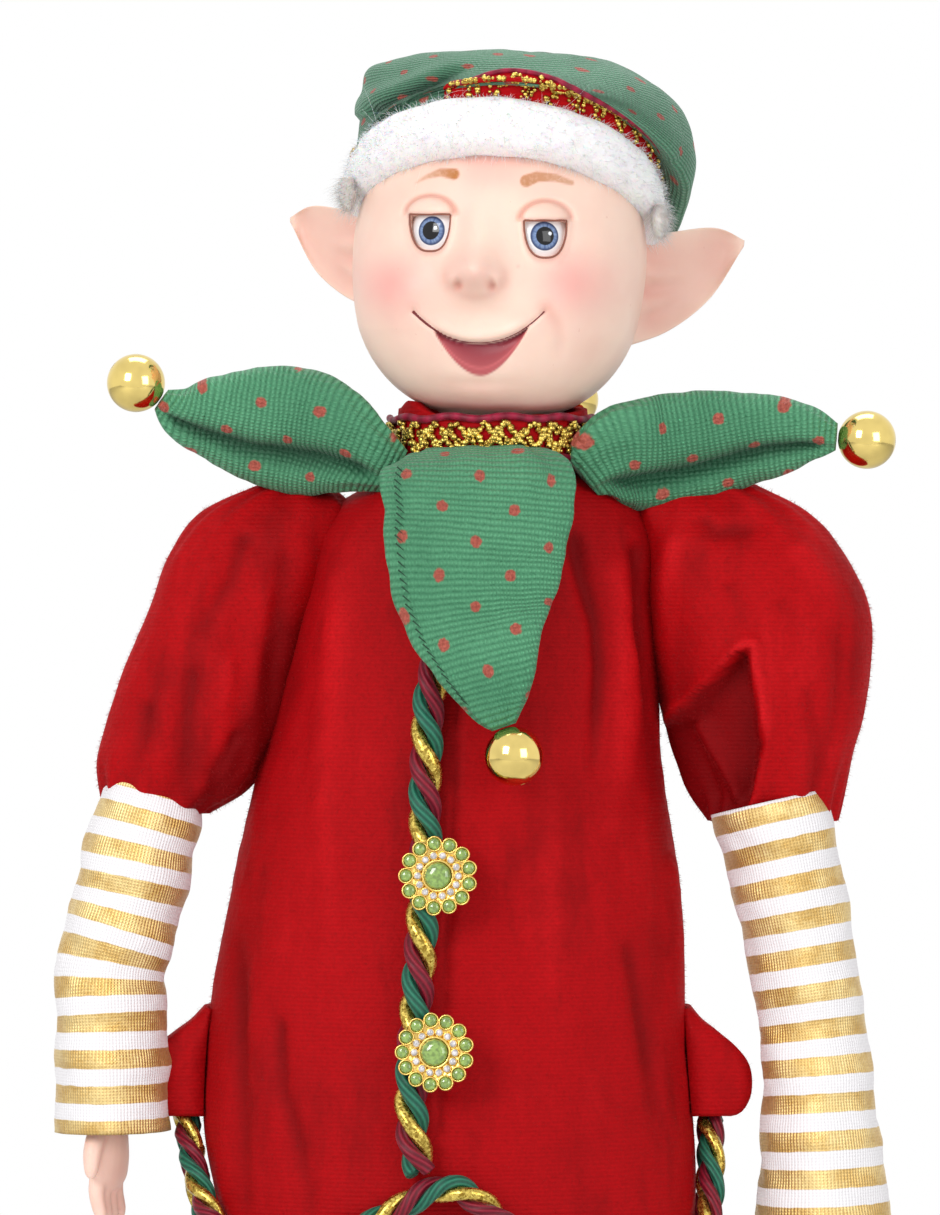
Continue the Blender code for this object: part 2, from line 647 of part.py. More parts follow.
def make_tuft(name, sign, materials, parts):
    """A wisp of white hair that hangs from under the brim in front of each ear."""
    across = HEAD_CENTRE[0] * MM + sign * (HEAD_HALF_WIDTH + TUFT_OFF_HEAD[name])
    top = hat_point(sign * math.pi / 2, 0).z - 2 * BRIM_HALF_HEIGHT
    start = Vector((across, TUFT_DEPTHS[name], top))
    points = [start + Vector((0, 0, -TUFT_LENGTH * share)) for share in (-0.5, 0.3, 0.7, 1.0)]
    radii = [TUFT_RADIUS * share for share in (0.8, 1.0, 0.7, 0.2)]
    return loft("hair_tuft_" + name, route_rings(points, radii, radii, count=8), materials["white_fur"], parts)


def make_ball(name, centre, hole_axis, materials, parts):
    """A gold bead with the hole that its thread runs through: its outline and bore turned as closed loops."""
    outline = []
    start = math.asin(BALL_HOLE_RADIUS / BALL_RADIUS)
    for i in range(7):
        tilt = start + (math.pi - 2 * start) * i / 6
        outline.append((BALL_RADIUS * math.sin(tilt), BALL_RADIUS * math.cos(tilt)))
    rings = []
    for angle in round_angles(12):
        rings.append([Vector((r * math.cos(angle), r * math.sin(angle), z)) for r, z in outline])
    ball = loft(name, rings, materials["gold_ball"], parts, closed=True)
    turn = hole_axis.to_track_quat("Z", "Y").to_matrix().to_4x4()
    ball.matrix_world = Matrix.Translation(centre) @ turn
    return ball


def make_petal(name, materials, parts):
    """A padded collar petal and the bead at its tip, which is seated against the petal's end."""
    table = PETAL_STATIONS[name]
    route = [above_hips(*row[:3]) for row in table]
    lean = PETAL_LEAN[name] * (1 if name == "left" else -1)
    half_breadths, half_depths = ([row[k] * MM for row in table] for k in (3, 4))
    rings = route_rings(route, half_breadths, half_depths, count=12, lean=lean)
    petal = loft("petal_" + name, rings, materials["green_cloth"], parts)
    onward = (route[-1] - route[-2]).normalized()
    make_ball("ball_" + name, route[-1] + onward * (BALL_RADIUS + GAP), onward, materials, parts)
    return petal


def make_collar(materials, parts):
    """The stand-up collar: a thin wall on the tunic's neckline that is taller at the back."""
    base = above_hips(*COLLAR_CENTRE, TUNIC_STATIONS[0][0]) + Vector((0, 0, GAP))
    rings = []
    for angle in round_angles(20):
        out = Vector((math.sin(angle), -math.cos(angle), 0))
        backward = (1 - math.cos(angle)) / 2
        top = COLLAR_FRONT_HEIGHT + (COLLAR_BACK_HEIGHT - COLLAR_FRONT_HEIGHT) * backward
        edge = base + Vector((COLLAR_HALF_WIDTH * out.x, COLLAR_HALF_DEPTH * out.y, 0))
        corners = ((COLLAR_THICKNESS, 0), (0, 0), (0, top * 0.9), (COLLAR_THICKNESS / 2, top), (COLLAR_THICKNESS, top * 0.9))
        rings.append([edge - out * inward + Vector((0, 0, height)) for inward, height in corners])
    return loft("neck_collar", rings, materials["red_velvet"], parts, closed=True)


def make_trim(materials, parts):
    """The braided ribbon round the collar."""
    centre = above_hips(*COLLAR_CENTRE, TUNIC_STATIONS[0][0]) + Vector((0, 0, GAP + TRIM_HEIGHT / 2))
    reach = GAP + TRIM_THICKNESS / 2
    half_sizes = (COLLAR_HALF_WIDTH + reach, COLLAR_HALF_DEPTH + reach, TRIM_HEIGHT / 2, TRIM_THICKNESS / 2)
    rings = ring_band(centre, *half_sizes, section=8, power=4)
    return loft("neck_trim", rings, materials["gold_trim"], parts, closed=True)


def make_arm(name, materials, parts):
    points = [above_hips(*p) for p in ARM_ROUTES[name]]
    radii = [ARM_RADIUS] * len(points)
    radii[-1] = ARM_RADIUS * 0.85
    return loft("arm_" + name, route_rings(points, radii, radii, count=8), materials["plain_cloth"], parts)


def make_puff(name, materials, parts):
    """A full sleeve head, gathered into folds that run down it."""
    rings = []
    for across, height, half_width in PUFF_STATIONS[name]:
        ring = []
        for i, angle in enumerate(round_angles(PUFF_COLUMNS)):
            radius = half_width * MM * (1 + PUFF_GATHER * (1 if i % 2 else -1))
            offset = Vector((radius * math.cos(angle), radius * PUFF_DEPTH_SHARE * math.sin(angle), 0))
            ring.append(above_hips(across, 0, height) + offset)
        rings.append(ring)
    return loft("puff_sleeve_" + name, rings, materials["red_velvet"], parts)


def make_striped_sleeve(name, materials, parts, cutters):
    """A cloth tube over the lower arm, open at the cuff round the wrist. The space is that of the filled tube."""
    table = SLEEVE_STATIONS[name]
    points = [above_hips(*row[:3]) for row in table]
    radii = [row[3] * MM for row in table]
    rings = route_rings(points, radii, radii, count=12)
    sleeve = loft("striped_sleeve_" + name, rings, materials["striped_cloth"], parts)
    space = space_for(sleeve, cutters)
    along = points[-1] - points[-2]
    inside = [points[-2] + along * 0.35, points[-2] + along * 0.6, points[-1] + along * 0.2]
    hollow_radii = [ARM_RADIUS, radii[-1] - SLEEVE_WALL, radii[-1] - SLEEVE_WALL]
    rings = route_rings(inside, hollow_radii, hollow_radii, count=12)
    hollow = loft("cuff_hollow_" + name, rings, materials["striped_cloth"], parts)
    boolean(sleeve, helper(hollow, cutters), "DIFFERENCE")
    return sleeve, space


def make_hand(name, sign, materials, parts, cutters):
    """A moulded hand that hangs down: wrist and palm in one loft, with four fingers and a thumb joined on."""
    wrist = above_hips(*ARM_ROUTES[name][-1]) + Vector((0, 0, -GAP - 0.5 * MM))
    palm_length = HAND_LENGTH * 0.6
    finger_length = HAND_LENGTH * 0.46
    palm_rows = ((0.0, 6.4, 5.4), (0.3, 6.0, 5.0), (0.55, 7.6, 5.0), (0.85, 9.0, 4.6), (1.0, 8.2, 3.8))
    points = [wrist - Vector((0, 0, palm_length * share)) for share, _, _ in palm_rows]
    spread = Vector((0.35, 0.937, 0))
    through = Vector((0.937, -0.35, 0))
    rings = [oval(p, spread, through, wide * MM, thick * MM, 10) for p, (_, wide, thick) in zip(points, palm_rows)]
    hand = loft("hand_" + name, rings, materials["skin"], parts)
    for finger in range(4):
        offset = (finger - 1.5) * 4.2 * MM
        root = wrist + spread * offset - Vector((0, 0, palm_length * 0.84))
        reach = finger_length * (0.86, 1.0, 0.97, 0.8)[finger]
        tip = root - Vector((sign * 1.5 * MM, 0, reach))
        middle = (root + tip) / 2 + Vector((sign * 0.8 * MM, 0, 0))
        radii = [2.3 * MM, 2.2 * MM, 1.5 * MM]
        rings = route_rings([root, middle, tip], radii, radii, count=6)
        digit = loft(f"finger_{name}_{finger}", rings, materials["skin"], parts)
        boolean(hand, helper(digit, cutters), "UNION")
    root = wrist - spread * 5 * MM - Vector((0, 0, palm_length * 0.4))
    points = [root, root - spread * 5.5 * MM - Vector((0, 0, 6 * MM)), root - spread * 7 * MM - Vector((0, 0, 14 * MM))]
    radii = [3.0 * MM, 2.6 * MM, 1.7 * MM]
    thumb = loft("thumb_" + name, route_rings(points, radii, radii, count=6), materials["skin"], parts)
    boolean(hand, helper(thumb, cutters), "UNION")
    return hand


def leg_centre(sign):
    return FEET_CENTRE + sign * FEET_SPREAD


def make_stocking(name, sign, materials, parts):
    top = HIP_HEIGHT + STOCKING_ABOVE_HIPS
    heights = np.linspace(STOCKING_FOOT, top, 7)
    points = [Vector((leg_centre(sign), LEG_DEPTH, h)) for h in heights]
    radii = [STOCKING_RADIUS * f for f in (0.8, 0.86, 1.0, 0.96, 1.04, 1.12, 1.12)]
    return loft("stocking_" + name, route_rings(points, radii, radii, count=12), materials["striped_cloth"], parts)


def make_breeches(materials, parts, cutters):
    """Short velvet breeches: a hip block with two gathered legs joined to it."""
    hips = [
        oval(above_hips(BREECHES_CENTRE, 0, height), (1, 0, 0), (0, 1, 0), width * MM, depth * MM, 12)
        for height, width, depth in BREECHES_STATIONS
    ]
    breeches = loft("breeches", hips, materials["red_velvet"], parts)
    for name, sign in SIDES:
        rows = ((0, 0.9), (-20, 1.1), (-42, 1.12), (-56, 0.95), (BREECHES_HEM, 0.8))
        points = [Vector((leg_centre(sign), 1 * MM, HIP_HEIGHT + height * MM)) for height, _ in rows]
        radii = [BREECHES_LEG_RADIUS * share for _, share in rows]
        leg = loft("breeches_leg_" + name, route_rings(points, radii, radii, count=12), materials["red_velvet"], parts)
        boolean(breeches, helper(leg, cutters), "UNION")
    return breeches


def foot_outline(centre, half_width, half_length, back, height, count=16):
    """A foot's outline: round at the heel and drawn out to a point at the toe."""
    outline = []
    for i in range(count):
        angle = 2 * math.pi * i / count
        forward = -math.cos(angle)
        narrow = 1 - 0.45 * max(0.0, -forward) ** 2
        outline.append(
            Vector((centre + half_width * math.sin(angle) * narrow, back + half_length * forward, height))
        )
    return outline


def make_boot(name, sign, materials, parts):
    rows = ((0.0, 14.5, 42, -17), (0.12, 16.5, 44, -18), (0.32, 16, 40, -15), (0.5, 15, 30, -7), (0.68, 15, 20, 1), (0.86, 16, 17, 3), (1.0, 16.5, 17.5, 3))
    base = SOLE_THICKNESS + GAP
    rings = [
        foot_outline(leg_centre(sign), width * MM, length * MM, back * MM, base + (BOOT_HEIGHT - GAP) * share)
        for share, width, length, back in rows
    ]
    boot = loft("boot_" + name, rings, materials["green_cloth"], parts)
    sole_rings = [
        foot_outline(leg_centre(sign), width * MM, length * MM, -17 * MM, height)
        for height, width, length in ((0, 14.5, 42.5), (SOLE_THICKNESS, 15.5, 43.5))
    ]
    sole = loft("boot_sole_" + name, sole_rings, materials["sole"], parts)
    return boot, sole


def make_armature(materials, parts):
    """Soft wires that hold the pose: a spine, one wire from hand to hand, and one down each leg."""
    neck = above_hips(*COLLAR_CENTRE, NECK_TOP + SPINE_WIRE_INTO_HEAD)
    spine = [neck, *(above_hips(*p) for p in SPINE_ROUTE)]
    wires = {"spine_wire": tube("spine_wire", smooth_route(spine, 6), WIRE_RADIUS, materials["wire"], parts, 1)}
    hand_depth = Vector((0, 0, -HAND_LENGTH * 0.3))
    right = [above_hips(*p) for p in ARM_ROUTES["right"]]
    left = [above_hips(*p) for p in ARM_ROUTES["left"]]
    middle = [above_hips(*p) for p in SHOULDER_ROUTE]
    route = [right[-1] + hand_depth, *right[::-1], *middle, *left, left[-1] + hand_depth]
    wires["arm_wire"] = tube("arm_wire", smooth_route(route, 22), WIRE_RADIUS, materials["wire"], parts, 1)
    for name, sign in SIDES:
        low = Vector((leg_centre(sign), LEG_DEPTH, SOLE_THICKNESS + LEG_WIRE_ABOVE_SOLE))
        high = Vector((leg_centre(sign), LEG_DEPTH, HIP_HEIGHT + LEG_WIRE_ABOVE_HIPS))
        wires["leg_wire_" + name] = tube("leg_wire_" + name, [low, high], WIRE_RADIUS, materials["wire"], parts, 1)
    return wires


def on_surface(tree, start, direction, stand_off):
    """The place where a ray meets a surface, moved off it along its normal."""
    spot, normal, _, _ = tree.ray_cast(start, direction)
    if spot is None:
        return None
    if normal.dot(direction) > 0:
        normal = -normal
    return spot + normal * stand_off, normal


def surface_tree(obj):
    mesh = evaluated_mesh(obj)
    bm = bmesh.new()
    bm.from_mesh(mesh)
    tree = BVHTree.FromBMesh(bm)
    bm.free()
    bpy.data.meshes.remove(mesh)
    return tree


def make_braid(tree, materials, parts):
    """Three twisted strands, each a helix round a route that lies on the tunic's front."""
    lift = STRAND_ORBIT + STRAND_RADIUS + GAP * 1.6
    route = []
    for across, height in BRAID_ROUTE:
        start = above_hips(across, CLEAR_IN_FRONT, height)
        spot, _ = on_surface(tree, start, Vector((0, 1, 0)), lift)
        route.append(spot)
    length = sum((b - a).length for a, b in zip(route, route[1:]))
    count = max(12, round(length / BRAID_PITCH * 6))
    centres = smooth_route(route, count)
    strands = []
    for index, (name, finish) in enumerate((("gold", "gold_trim"), ("burgundy", "burgundy_cord"), ("green", "green_cord"))):
        points = []
        travelled = 0.0
        for i, centre in enumerate(centres):
            along = (centres[min(i + 1, count - 1)] - centres[max(i - 1, 0)]).normalized()
            out = (Vector((0, -1, 0)) - along * -along.y).normalized()
            side = along.cross(out)
            turn = 2 * math.pi * (index / 3 - travelled / BRAID_PITCH)
            points.append(centre + (out * math.cos(turn) + side * math.sin(turn)) * STRAND_ORBIT)
            if i + 1 < count:
                travelled += (centres[i + 1] - centre).length
        strands.append(tube("braid_" + name, points, STRAND_RADIUS, materials[finish], parts, 1))
    return strands


def make_hem_cord(tree, materials, parts):
    """A twisted cord sewn round the hem: a three-lobed section that turns as it goes along the hem's line."""
    lift = HEM_CORD_RADIUS + GAP * 2
    spots = []
    for i in range(160):
        angle = 2 * math.pi * i / 160
        height = hem_height(angle) + HEM_CORD_RADIUS / MM * 0.55
        outside = tunic_point(angle, height, -CLEAR_OUTSIDE)
        inward = tunic_point(angle, height, 10 * MM) - outside
        found = on_surface(tree, outside, inward.normalized(), lift)
        if found:
            spots.append(np.array(found[0]))
    line = np.array(spots)
    for _ in range(6):
        line = (np.roll(line, 1, axis=0) + 2 * line + np.roll(line, -1, axis=0)) / 4
    middle = line.mean(axis=0)
    outward = line - middle
    outward[:, 2] = 0
    line += outward / np.linalg.norm(outward, axis=1)[:, None] * 0.5 * MM
    closed = np.vstack([line, line[:1]])
    distance = np.concatenate([[0], np.cumsum(np.linalg.norm(np.diff(closed, axis=0), axis=1))])
    turns = round(distance[-1] / BRAID_PITCH)
    count = turns * 4
    wanted = np.arange(count) / count * distance[-1]
    centres = [Vector([np.interp(w, distance, closed[:, k]) for k in range(3)]) for w in wanted]
    rings = []
    for i, centre in enumerate(centres):
        along = (centres[(i + 1) % count] - centres[i - 1]).normalized()
        flat = Vector((centre.x - middle[0], centre.y - middle[1], 0))
        out = (flat - along * flat.dot(along)).normalized()
        side = along.cross(out)
        ring = []
        for k in range(6):
            turn = 2 * math.pi * (k / 6 + i / 4)
            radius = HEM_CORD_RADIUS * (1.0 if k % 2 == 0 else 0.72)
            ring.append(centre + (out * math.cos(turn) + side * math.sin(turn)) * radius)
        rings.append(ring)
    return loft("hem_cord", rings, materials["gold_trim"], parts, closed=True)


def make_button(name, tree, materials, parts):
    """A jewelled button: a scalloped plate with a ring of beads round a faceted stone."""
    across, height = BUTTON_PLACES[name]
    braid_top = 2 * (STRAND_ORBIT + STRAND_RADIUS) + GAP * 2.6
    back, normal = on_surface(tree, above_hips(across, CLEAR_IN_FRONT, height), Vector((0, 1, 0)), braid_top + GAP)
    stand = normal.to_track_quat("Z", "Y").to_matrix().to_4x4()

    def plate(bm):
        edge = []
        for i in range(BUTTON_LOBES * 4):
            angle = 2 * math.pi * i / (BUTTON_LOBES * 4)
            wave = abs(math.cos(angle * BUTTON_LOBES / 2))
            radius = BUTTON_RADIUS + BUTTON_LOBE_RADIUS * (0.35 + 0.65 * wave)
            edge.append(bm.verts.new((radius * math.cos(angle), radius * math.sin(angle), 0)))
        face = bm.faces.new(edge)
        raised = bmesh.ops.extrude_face_region(bm, geom=[face])
        verts = [v for v in raised["geom"] if isinstance(v, bmesh.types.BMVert)]
        bmesh.ops.translate(bm, vec=(0, 0, BUTTON_THICKNESS), verts=verts)

    setting = mesh_object("button_" + name, plate, materials["button_metal"], parts)
    place = Matrix.Translation(back) @ stand
    setting.matrix_world = place

    def stone(bm):
        rows = ((0, 0.92), (0.35, 1.0), (1.0, 0.55))
        for share, size in rows:
            bmesh.ops.create_circle(bm, cap_ends=False, segments=10, radius=GEM_RADIUS * size)
            bmesh.ops.translate(bm, vec=(0, 0, GEM_RADIUS * 0.6 * share), verts=bm.verts[-10:])
        bm.verts.ensure_lookup_table()
        loops = [bm.verts[k * 10 : k * 10 + 10] for k in range(3)]
        for low, high in zip(loops, loops[1:]):
            for i in range(10):
                j = (i + 1) % 10
                bm.faces.new((low[i], low[j], high[j], high[i]))
        bm.faces.new(loops[0])
        bm.faces.new(loops[-1])

    gem = mesh_object("gem_" + name, stone, materials["gem_green"], parts)
    gem.matrix_world = place @ Matrix.Translation((0, 0, BUTTON_THICKNESS + GAP))
    return setting, gem


def make_peplum(materials, parts):
    """A short flared flap round the back of the hips, whose ends stand out at both sides."""
    columns, rows = 20, 4

    def build(bm):
        grid = []
        for r in range(rows):
            share = r / (rows - 1)
            line = []
            for c in range(columns + 1):
                angle = math.pi + PEPLUM_REACH * (2 * c / columns - 1)
                height = PEPLUM_TOP + (PEPLUM_HEM - PEPLUM_TOP) * share
                flare = PEPLUM_FLARE * share**0.8 * (1 + 0.12 * math.cos(9 * angle) * share)
                line.append(bm.verts.new(tunic_point(angle, height, -flare)))
            grid.append(line)
        for high, low in zip(grid, grid[1:]):
            for c in range(columns):
                bm.faces.new((low[c], low[c + 1], high[c + 1], high[c]))

    peplum = mesh_object("peplum", build, materials["red_velvet"], parts)
    wall = peplum.modifiers.new("Wall", "SOLIDIFY")
    wall.thickness = PEPLUM_WALL
    wall.offset = 0
    return peplum


def main():
    clear_scene()
    parts = new_collection("elf_figure")
    cutters = new_collection("cutters", hidden=True)
    materials = {name: make_material(name) for name in COLOURS}

    wires = make_armature(materials, parts)
    wire_spaces = {name: space_for(wire, cutters) for name, wire in wires.items()}
    torso = make_torso(materials, parts)
    torso_space = space_for(torso, cutters)
    head, head_space = make_head(materials, parts, cutters, torso)
    make_hat(materials, parts, cutters, head_space)

    tunic, tunic_space = make_tunic(materials, parts, cutters)
    puff_spaces, sleeve_spaces = {}, {}
    for name, sign in SIDES:
        arm = make_arm(name, materials, parts)
        arm_space = space_for(arm, cutters)
        hand = make_hand(name, sign, materials, parts, cutters)
        sleeve, sleeve_space = make_striped_sleeve(name, materials, parts, cutters)
        sleeve_spaces[name] = sleeve_space
        puff = make_puff(name, materials, parts)
        puff_spaces[name] = space_for(puff, cutters)
        cut_back(tunic, [arm_space])
        cut_back(sleeve, [arm_space])
        cut_back(puff, [tunic_space, arm_space, sleeve_space])
        cut_back(arm, [torso_space, wire_spaces["arm_wire"]])
        cut_back(hand, [wire_spaces["arm_wire"]])

    collar_spaces = [space_for(make_collar(materials, parts), cutters), space_for(make_trim(materials, parts), cutters)]
    front = make_petal("front", materials, parts)
    front_space = space_for(front, cutters)
    cut_back(front, [tunic_space, *collar_spaces])
    for name, _ in SIDES:
        cut_back(make_petal(name, materials, parts), [tunic_space, *collar_spaces, puff_spaces[name], front_space])
    cut_back(make_petal("back", materials, parts), [tunic_space, *collar_spaces])

    tree = surface_tree(tunic)
    make_braid(tree, materials, parts)
    make_hem_cord(tree, materials, parts)
    for name in BUTTON_PLACES:
        make_button(name, tree, materials, parts)
    cut_back(make_peplum(materials, parts), [tunic_space, *sleeve_spaces.values()])

    breeches = make_breeches(materials, parts, cutters)
    cut_back(breeches, [torso_space])
    for name, sign in SIDES:
        stocking = make_stocking(name, sign, materials, parts)
        stocking_space = space_for(stocking, cutters)
        boot, _ = make_boot(name, sign, materials, parts)
        cut_back(breeches, [stocking_space])
        cut_back(boot, [stocking_space, wire_spaces["leg_wire_" + name]])
        cut_back(stocking, [torso_space, wire_spaces["leg_wire_" + name]])
    cut_back(head, [wire_spaces["spine_wire"]])
    cut_back(torso, wire_spaces.values())


main()
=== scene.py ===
import bpy
import numpy as np
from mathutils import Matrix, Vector


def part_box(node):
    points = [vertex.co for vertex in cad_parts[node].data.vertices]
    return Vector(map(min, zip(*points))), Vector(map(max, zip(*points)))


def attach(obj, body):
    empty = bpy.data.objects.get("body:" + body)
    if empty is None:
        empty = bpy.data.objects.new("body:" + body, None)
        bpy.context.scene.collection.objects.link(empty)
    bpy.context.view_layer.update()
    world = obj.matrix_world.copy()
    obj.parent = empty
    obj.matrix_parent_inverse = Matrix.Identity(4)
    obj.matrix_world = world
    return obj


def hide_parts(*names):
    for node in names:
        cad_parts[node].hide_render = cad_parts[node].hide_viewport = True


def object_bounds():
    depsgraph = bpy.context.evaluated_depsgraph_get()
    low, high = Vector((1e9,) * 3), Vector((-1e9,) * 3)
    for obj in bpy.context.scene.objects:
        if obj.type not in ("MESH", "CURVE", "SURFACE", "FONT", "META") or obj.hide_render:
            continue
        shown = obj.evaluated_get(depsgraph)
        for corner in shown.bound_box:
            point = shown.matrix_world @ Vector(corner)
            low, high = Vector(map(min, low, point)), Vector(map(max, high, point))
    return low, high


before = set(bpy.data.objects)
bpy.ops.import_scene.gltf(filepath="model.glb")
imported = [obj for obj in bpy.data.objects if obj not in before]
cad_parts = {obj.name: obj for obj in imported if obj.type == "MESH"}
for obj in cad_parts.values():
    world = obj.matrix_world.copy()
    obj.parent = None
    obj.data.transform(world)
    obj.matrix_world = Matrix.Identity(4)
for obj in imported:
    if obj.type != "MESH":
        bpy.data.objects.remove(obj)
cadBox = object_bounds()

mm = 0.001
hip = 0.300  # height of the hip line: the tables count from it, in millimetres
turn = 2 * np.pi
cameraStand = {"distance": 2.0, "plane": -0.020, "height": 0.455, "frameHeight": 0.3159}
print("frame loaded:", len(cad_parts), "pieces")


# shapes

def ring(count):  # angles evenly round a ring
    return np.arange(count) * turn / count


# a cubic through the rows of a table; its first column is the place, and slopes are the mean of neighbours'
def smoothTable(rows, where):
    table = np.array(rows, float)
    if table[0, 0] > table[-1, 0]:
        table = table[::-1]
    knots, values = table[:, 0], table[:, 1:]
    slopes = np.gradient(values, knots, axis=0)
    where = np.clip(np.asarray(where, float), knots[0], knots[-1])
    low = np.clip(np.searchsorted(knots, where, side="right") - 1, 0, len(knots) - 2)
    span = knots[low + 1] - knots[low]
    t = ((where - knots[low]) / span)[..., None]
    span = span[..., None]
    return (
        (1 + 2 * t) * (1 - t) ** 2 * values[low]
        + t * (1 - t) ** 2 * span * slopes[low]
        + t * t * (3 - 2 * t) * values[low + 1]
        - t * t * (1 - t) * span * slopes[low + 1]
    )


# distance travelled along a line of points
def travelled(points):
    return np.concatenate([[0], np.cumsum(np.linalg.norm(np.diff(points, axis=0), axis=1))])


# evenly spaced places on a smooth line through the points; extra columns are carried along with it
def evenRoute(points, count, closed=False):
    points = np.array(points, float)
    if closed:
        points = np.vstack([points[-3:], points, points[:4]])
    marks = travelled(points[:, :3])
    fine = smoothTable(np.column_stack([marks, points]), np.linspace(0, marks[-1], 30 * len(points)))
    if closed:
        fine = fine[(np.linspace(0, marks[-1], 30 * len(points)) >= marks[3])
                    & (np.linspace(0, marks[-1], 30 * len(points)) <= marks[-4])]
    length = travelled(fine[:, :3])
    wanted = np.linspace(0, length[-1], count + 1)[:-1] if closed else np.linspace(0, length[-1], count)
    return np.column_stack([np.interp(wanted, length, fine[:, k]) for k in range(fine.shape[1])])


def unit(vectors):
    return vectors / np.maximum(np.linalg.norm(vectors, axis=-1, keepdims=True), 1e-12)


# a millimetre table over the hip line, as places in metres
def overHips(table):
    table = np.array(table, float)
    return table[..., :3] * mm + np.array([0, 0, hip])


# a profile carried along a path: place = path + side * across + depth * outward,
# with depth as near the hint as it can be
def carried(path, across, outward, hint=(0, 1, 0), lean=0.0, closed=False):
    ahead = unit(np.roll(path, -1, 0) - np.roll(path, 1, 0) if closed else np.gradient(path, axis=0))
    hint = np.broadcast_to(np.array(hint, float), path.shape)
    depth = unit(hint - ahead * (ahead * hint).sum(-1, keepdims=True))
    side = np.cross(depth, ahead)
    depth, side = depth * np.cos(lean) - side * np.sin(lean), side * np.cos(lean) + depth * np.sin(lean)
    return path[:, None] + side[:, None] * across[..., None] + depth[:, None] * outward[..., None]


def tube(path, radius, count, **settings):  # a round cord along a path; the radius may be a column
    angle = ring(count)[None]
    radius = radius + 0 * path[:, :1]
    return carried(path, radius * np.cos(angle), radius * np.sin(angle), **settings)


# a soft random field between about -1 and 1: sines along random directions,
# each octave half the size and strength
def softNoise(points, size, seed):
    draw = np.random.default_rng(seed)
    total = np.zeros(points.shape[:-1])
    for octave in range(3):
        ways = unit(draw.normal(size=(7, 3)))
        starts = draw.uniform(0, turn, 7)
        waves = np.sin(points @ ways.T * (turn / size * 2**octave) + starts)
        total += waves.mean(-1) * 2.0 / 2**octave
    return total / 1.5


def fade(value, start, end):  # 0 at start, 1 at end, smooth between them
    t = np.clip((value - start) / (end - start), 0, 1)
    return t * t * (3 - 2 * t)


def bell(distance, width):  # 1 at no distance, and about a third at the width
    return np.exp(-((distance / width) ** 2))


def hill(x, z, centreX, centreZ, spreadX, spreadZ):
    return np.exp(-(((x - centreX) / spreadX) ** 2) - ((z - centreZ) / spreadZ) ** 2)


# where a place shows from the camera, in millimetres on the plane through the figure
def seenFromFront(points):
    far = cameraStand["distance"] + points[..., 1] - cameraStand["plane"]
    scale = cameraStand["distance"] / far
    x = points[..., 0] * scale
    z = (points[..., 2] - cameraStand["height"]) * scale + cameraStand["height"]
    return x / mm, z / mm


# distance from (x, z) to a line of points, and the share of the way along it
def nearLine(x, z, line):
    line = np.array(line, float)
    best, share = np.full(np.shape(x), 1e9), np.zeros(np.shape(x))
    total = travelled(line)
    for k in range(len(line) - 1):
        a, b = line[k], line[k + 1]
        t = np.clip(((x - a[0]) * (b - a)[0] + (z - a[1]) * (b - a)[1]) / ((b - a) @ (b - a)), 0, 1)
        away = np.hypot(x - a[0] - t * (b - a)[0], z - a[1] - t * (b - a)[1])
        share = np.where(away < best, (total[k] + t * (total[k + 1] - total[k])) / total[-1], share)
        best = np.minimum(best, away)
    return best, share


# meshes

def makeMesh(name, points, faceGroups, finish, corners=None, marks=None, smooth=True):
    groups = [np.asarray(group) for group in faceGroups if len(group)]
    flat = np.concatenate([group.ravel() for group in groups]).astype(np.int32)
    sizes = np.concatenate([np.full(len(group), group.shape[1]) for group in groups])
    mesh = bpy.data.meshes.new(name)
    mesh.vertices.add(len(points))
    mesh.vertices.foreach_set("co", np.asarray(points, np.float32).ravel())
    mesh.loops.add(len(flat))
    mesh.polygons.add(len(sizes))
    mesh.polygons.foreach_set("loop_start", np.concatenate([[0], np.cumsum(sizes)[:-1]]).astype(np.int32))
    mesh.polygons.foreach_set("vertices", flat)
    mesh.update(calc_edges=True)
    if smooth:
        mesh.shade_smooth()
    if corners is not None:
        layer = mesh.uv_layers.new(name="UVMap")
        layer.data.foreach_set("uv", np.asarray(corners, np.float32).ravel())
    for key, values in (marks or {}).items():
        layer = mesh.attributes.new(key, "FLOAT", "POINT")
        layer.data.foreach_set("value", np.asarray(values, np.float32).ravel())
    obj = bpy.data.objects.new(name, mesh)
    bpy.context.scene.collection.objects.link(obj)
    obj.data.materials.append(finish)
    return obj


# the cloth's own coordinates in metres: the mean arc across the columns, and the mean arc down the rows
def clothMap(grid, aroundRows, aroundColumns):
    if aroundRows:
        grid = np.concatenate([grid, grid[:1]], 0)
    if aroundColumns:
        grid = np.concatenate([grid, grid[:, :1]], 1)
    down = np.concatenate([[0], np.cumsum(np.linalg.norm(np.diff(grid, axis=0), axis=2).mean(1))])
    across = np.concatenate([[0], np.cumsum(np.linalg.norm(np.diff(grid, axis=1), axis=2).mean(0))])
    return np.stack(np.meshgrid(across, down), -1)


# the four-sided faces of a grid, and the three-sided ones that cap its ends round two more points
def gridFaces(rows, columns, aroundRows=False, aroundColumns=True):
    i = np.arange(rows if aroundRows else rows - 1)[:, None]
    j = np.arange(columns if aroundColumns else columns - 1)[None, :]
    nextI, nextJ = (i + 1) % rows, (j + 1) % columns
    quads = np.stack(np.broadcast_arrays(i * columns + j, i * columns + nextJ, nextI * columns + nextJ,
                                         nextI * columns + j), -1).reshape(-1, 4)
    edge, first, last, end = np.arange(columns), rows * columns, rows * columns + 1, (rows - 1) * columns
    tris = np.vstack([np.stack([np.full(columns, first), np.roll(edge, -1), edge], 1),
                      np.stack([np.full(columns, last), end + edge, end + np.roll(edge, -1)], 1)])
    return i, j, quads, tris


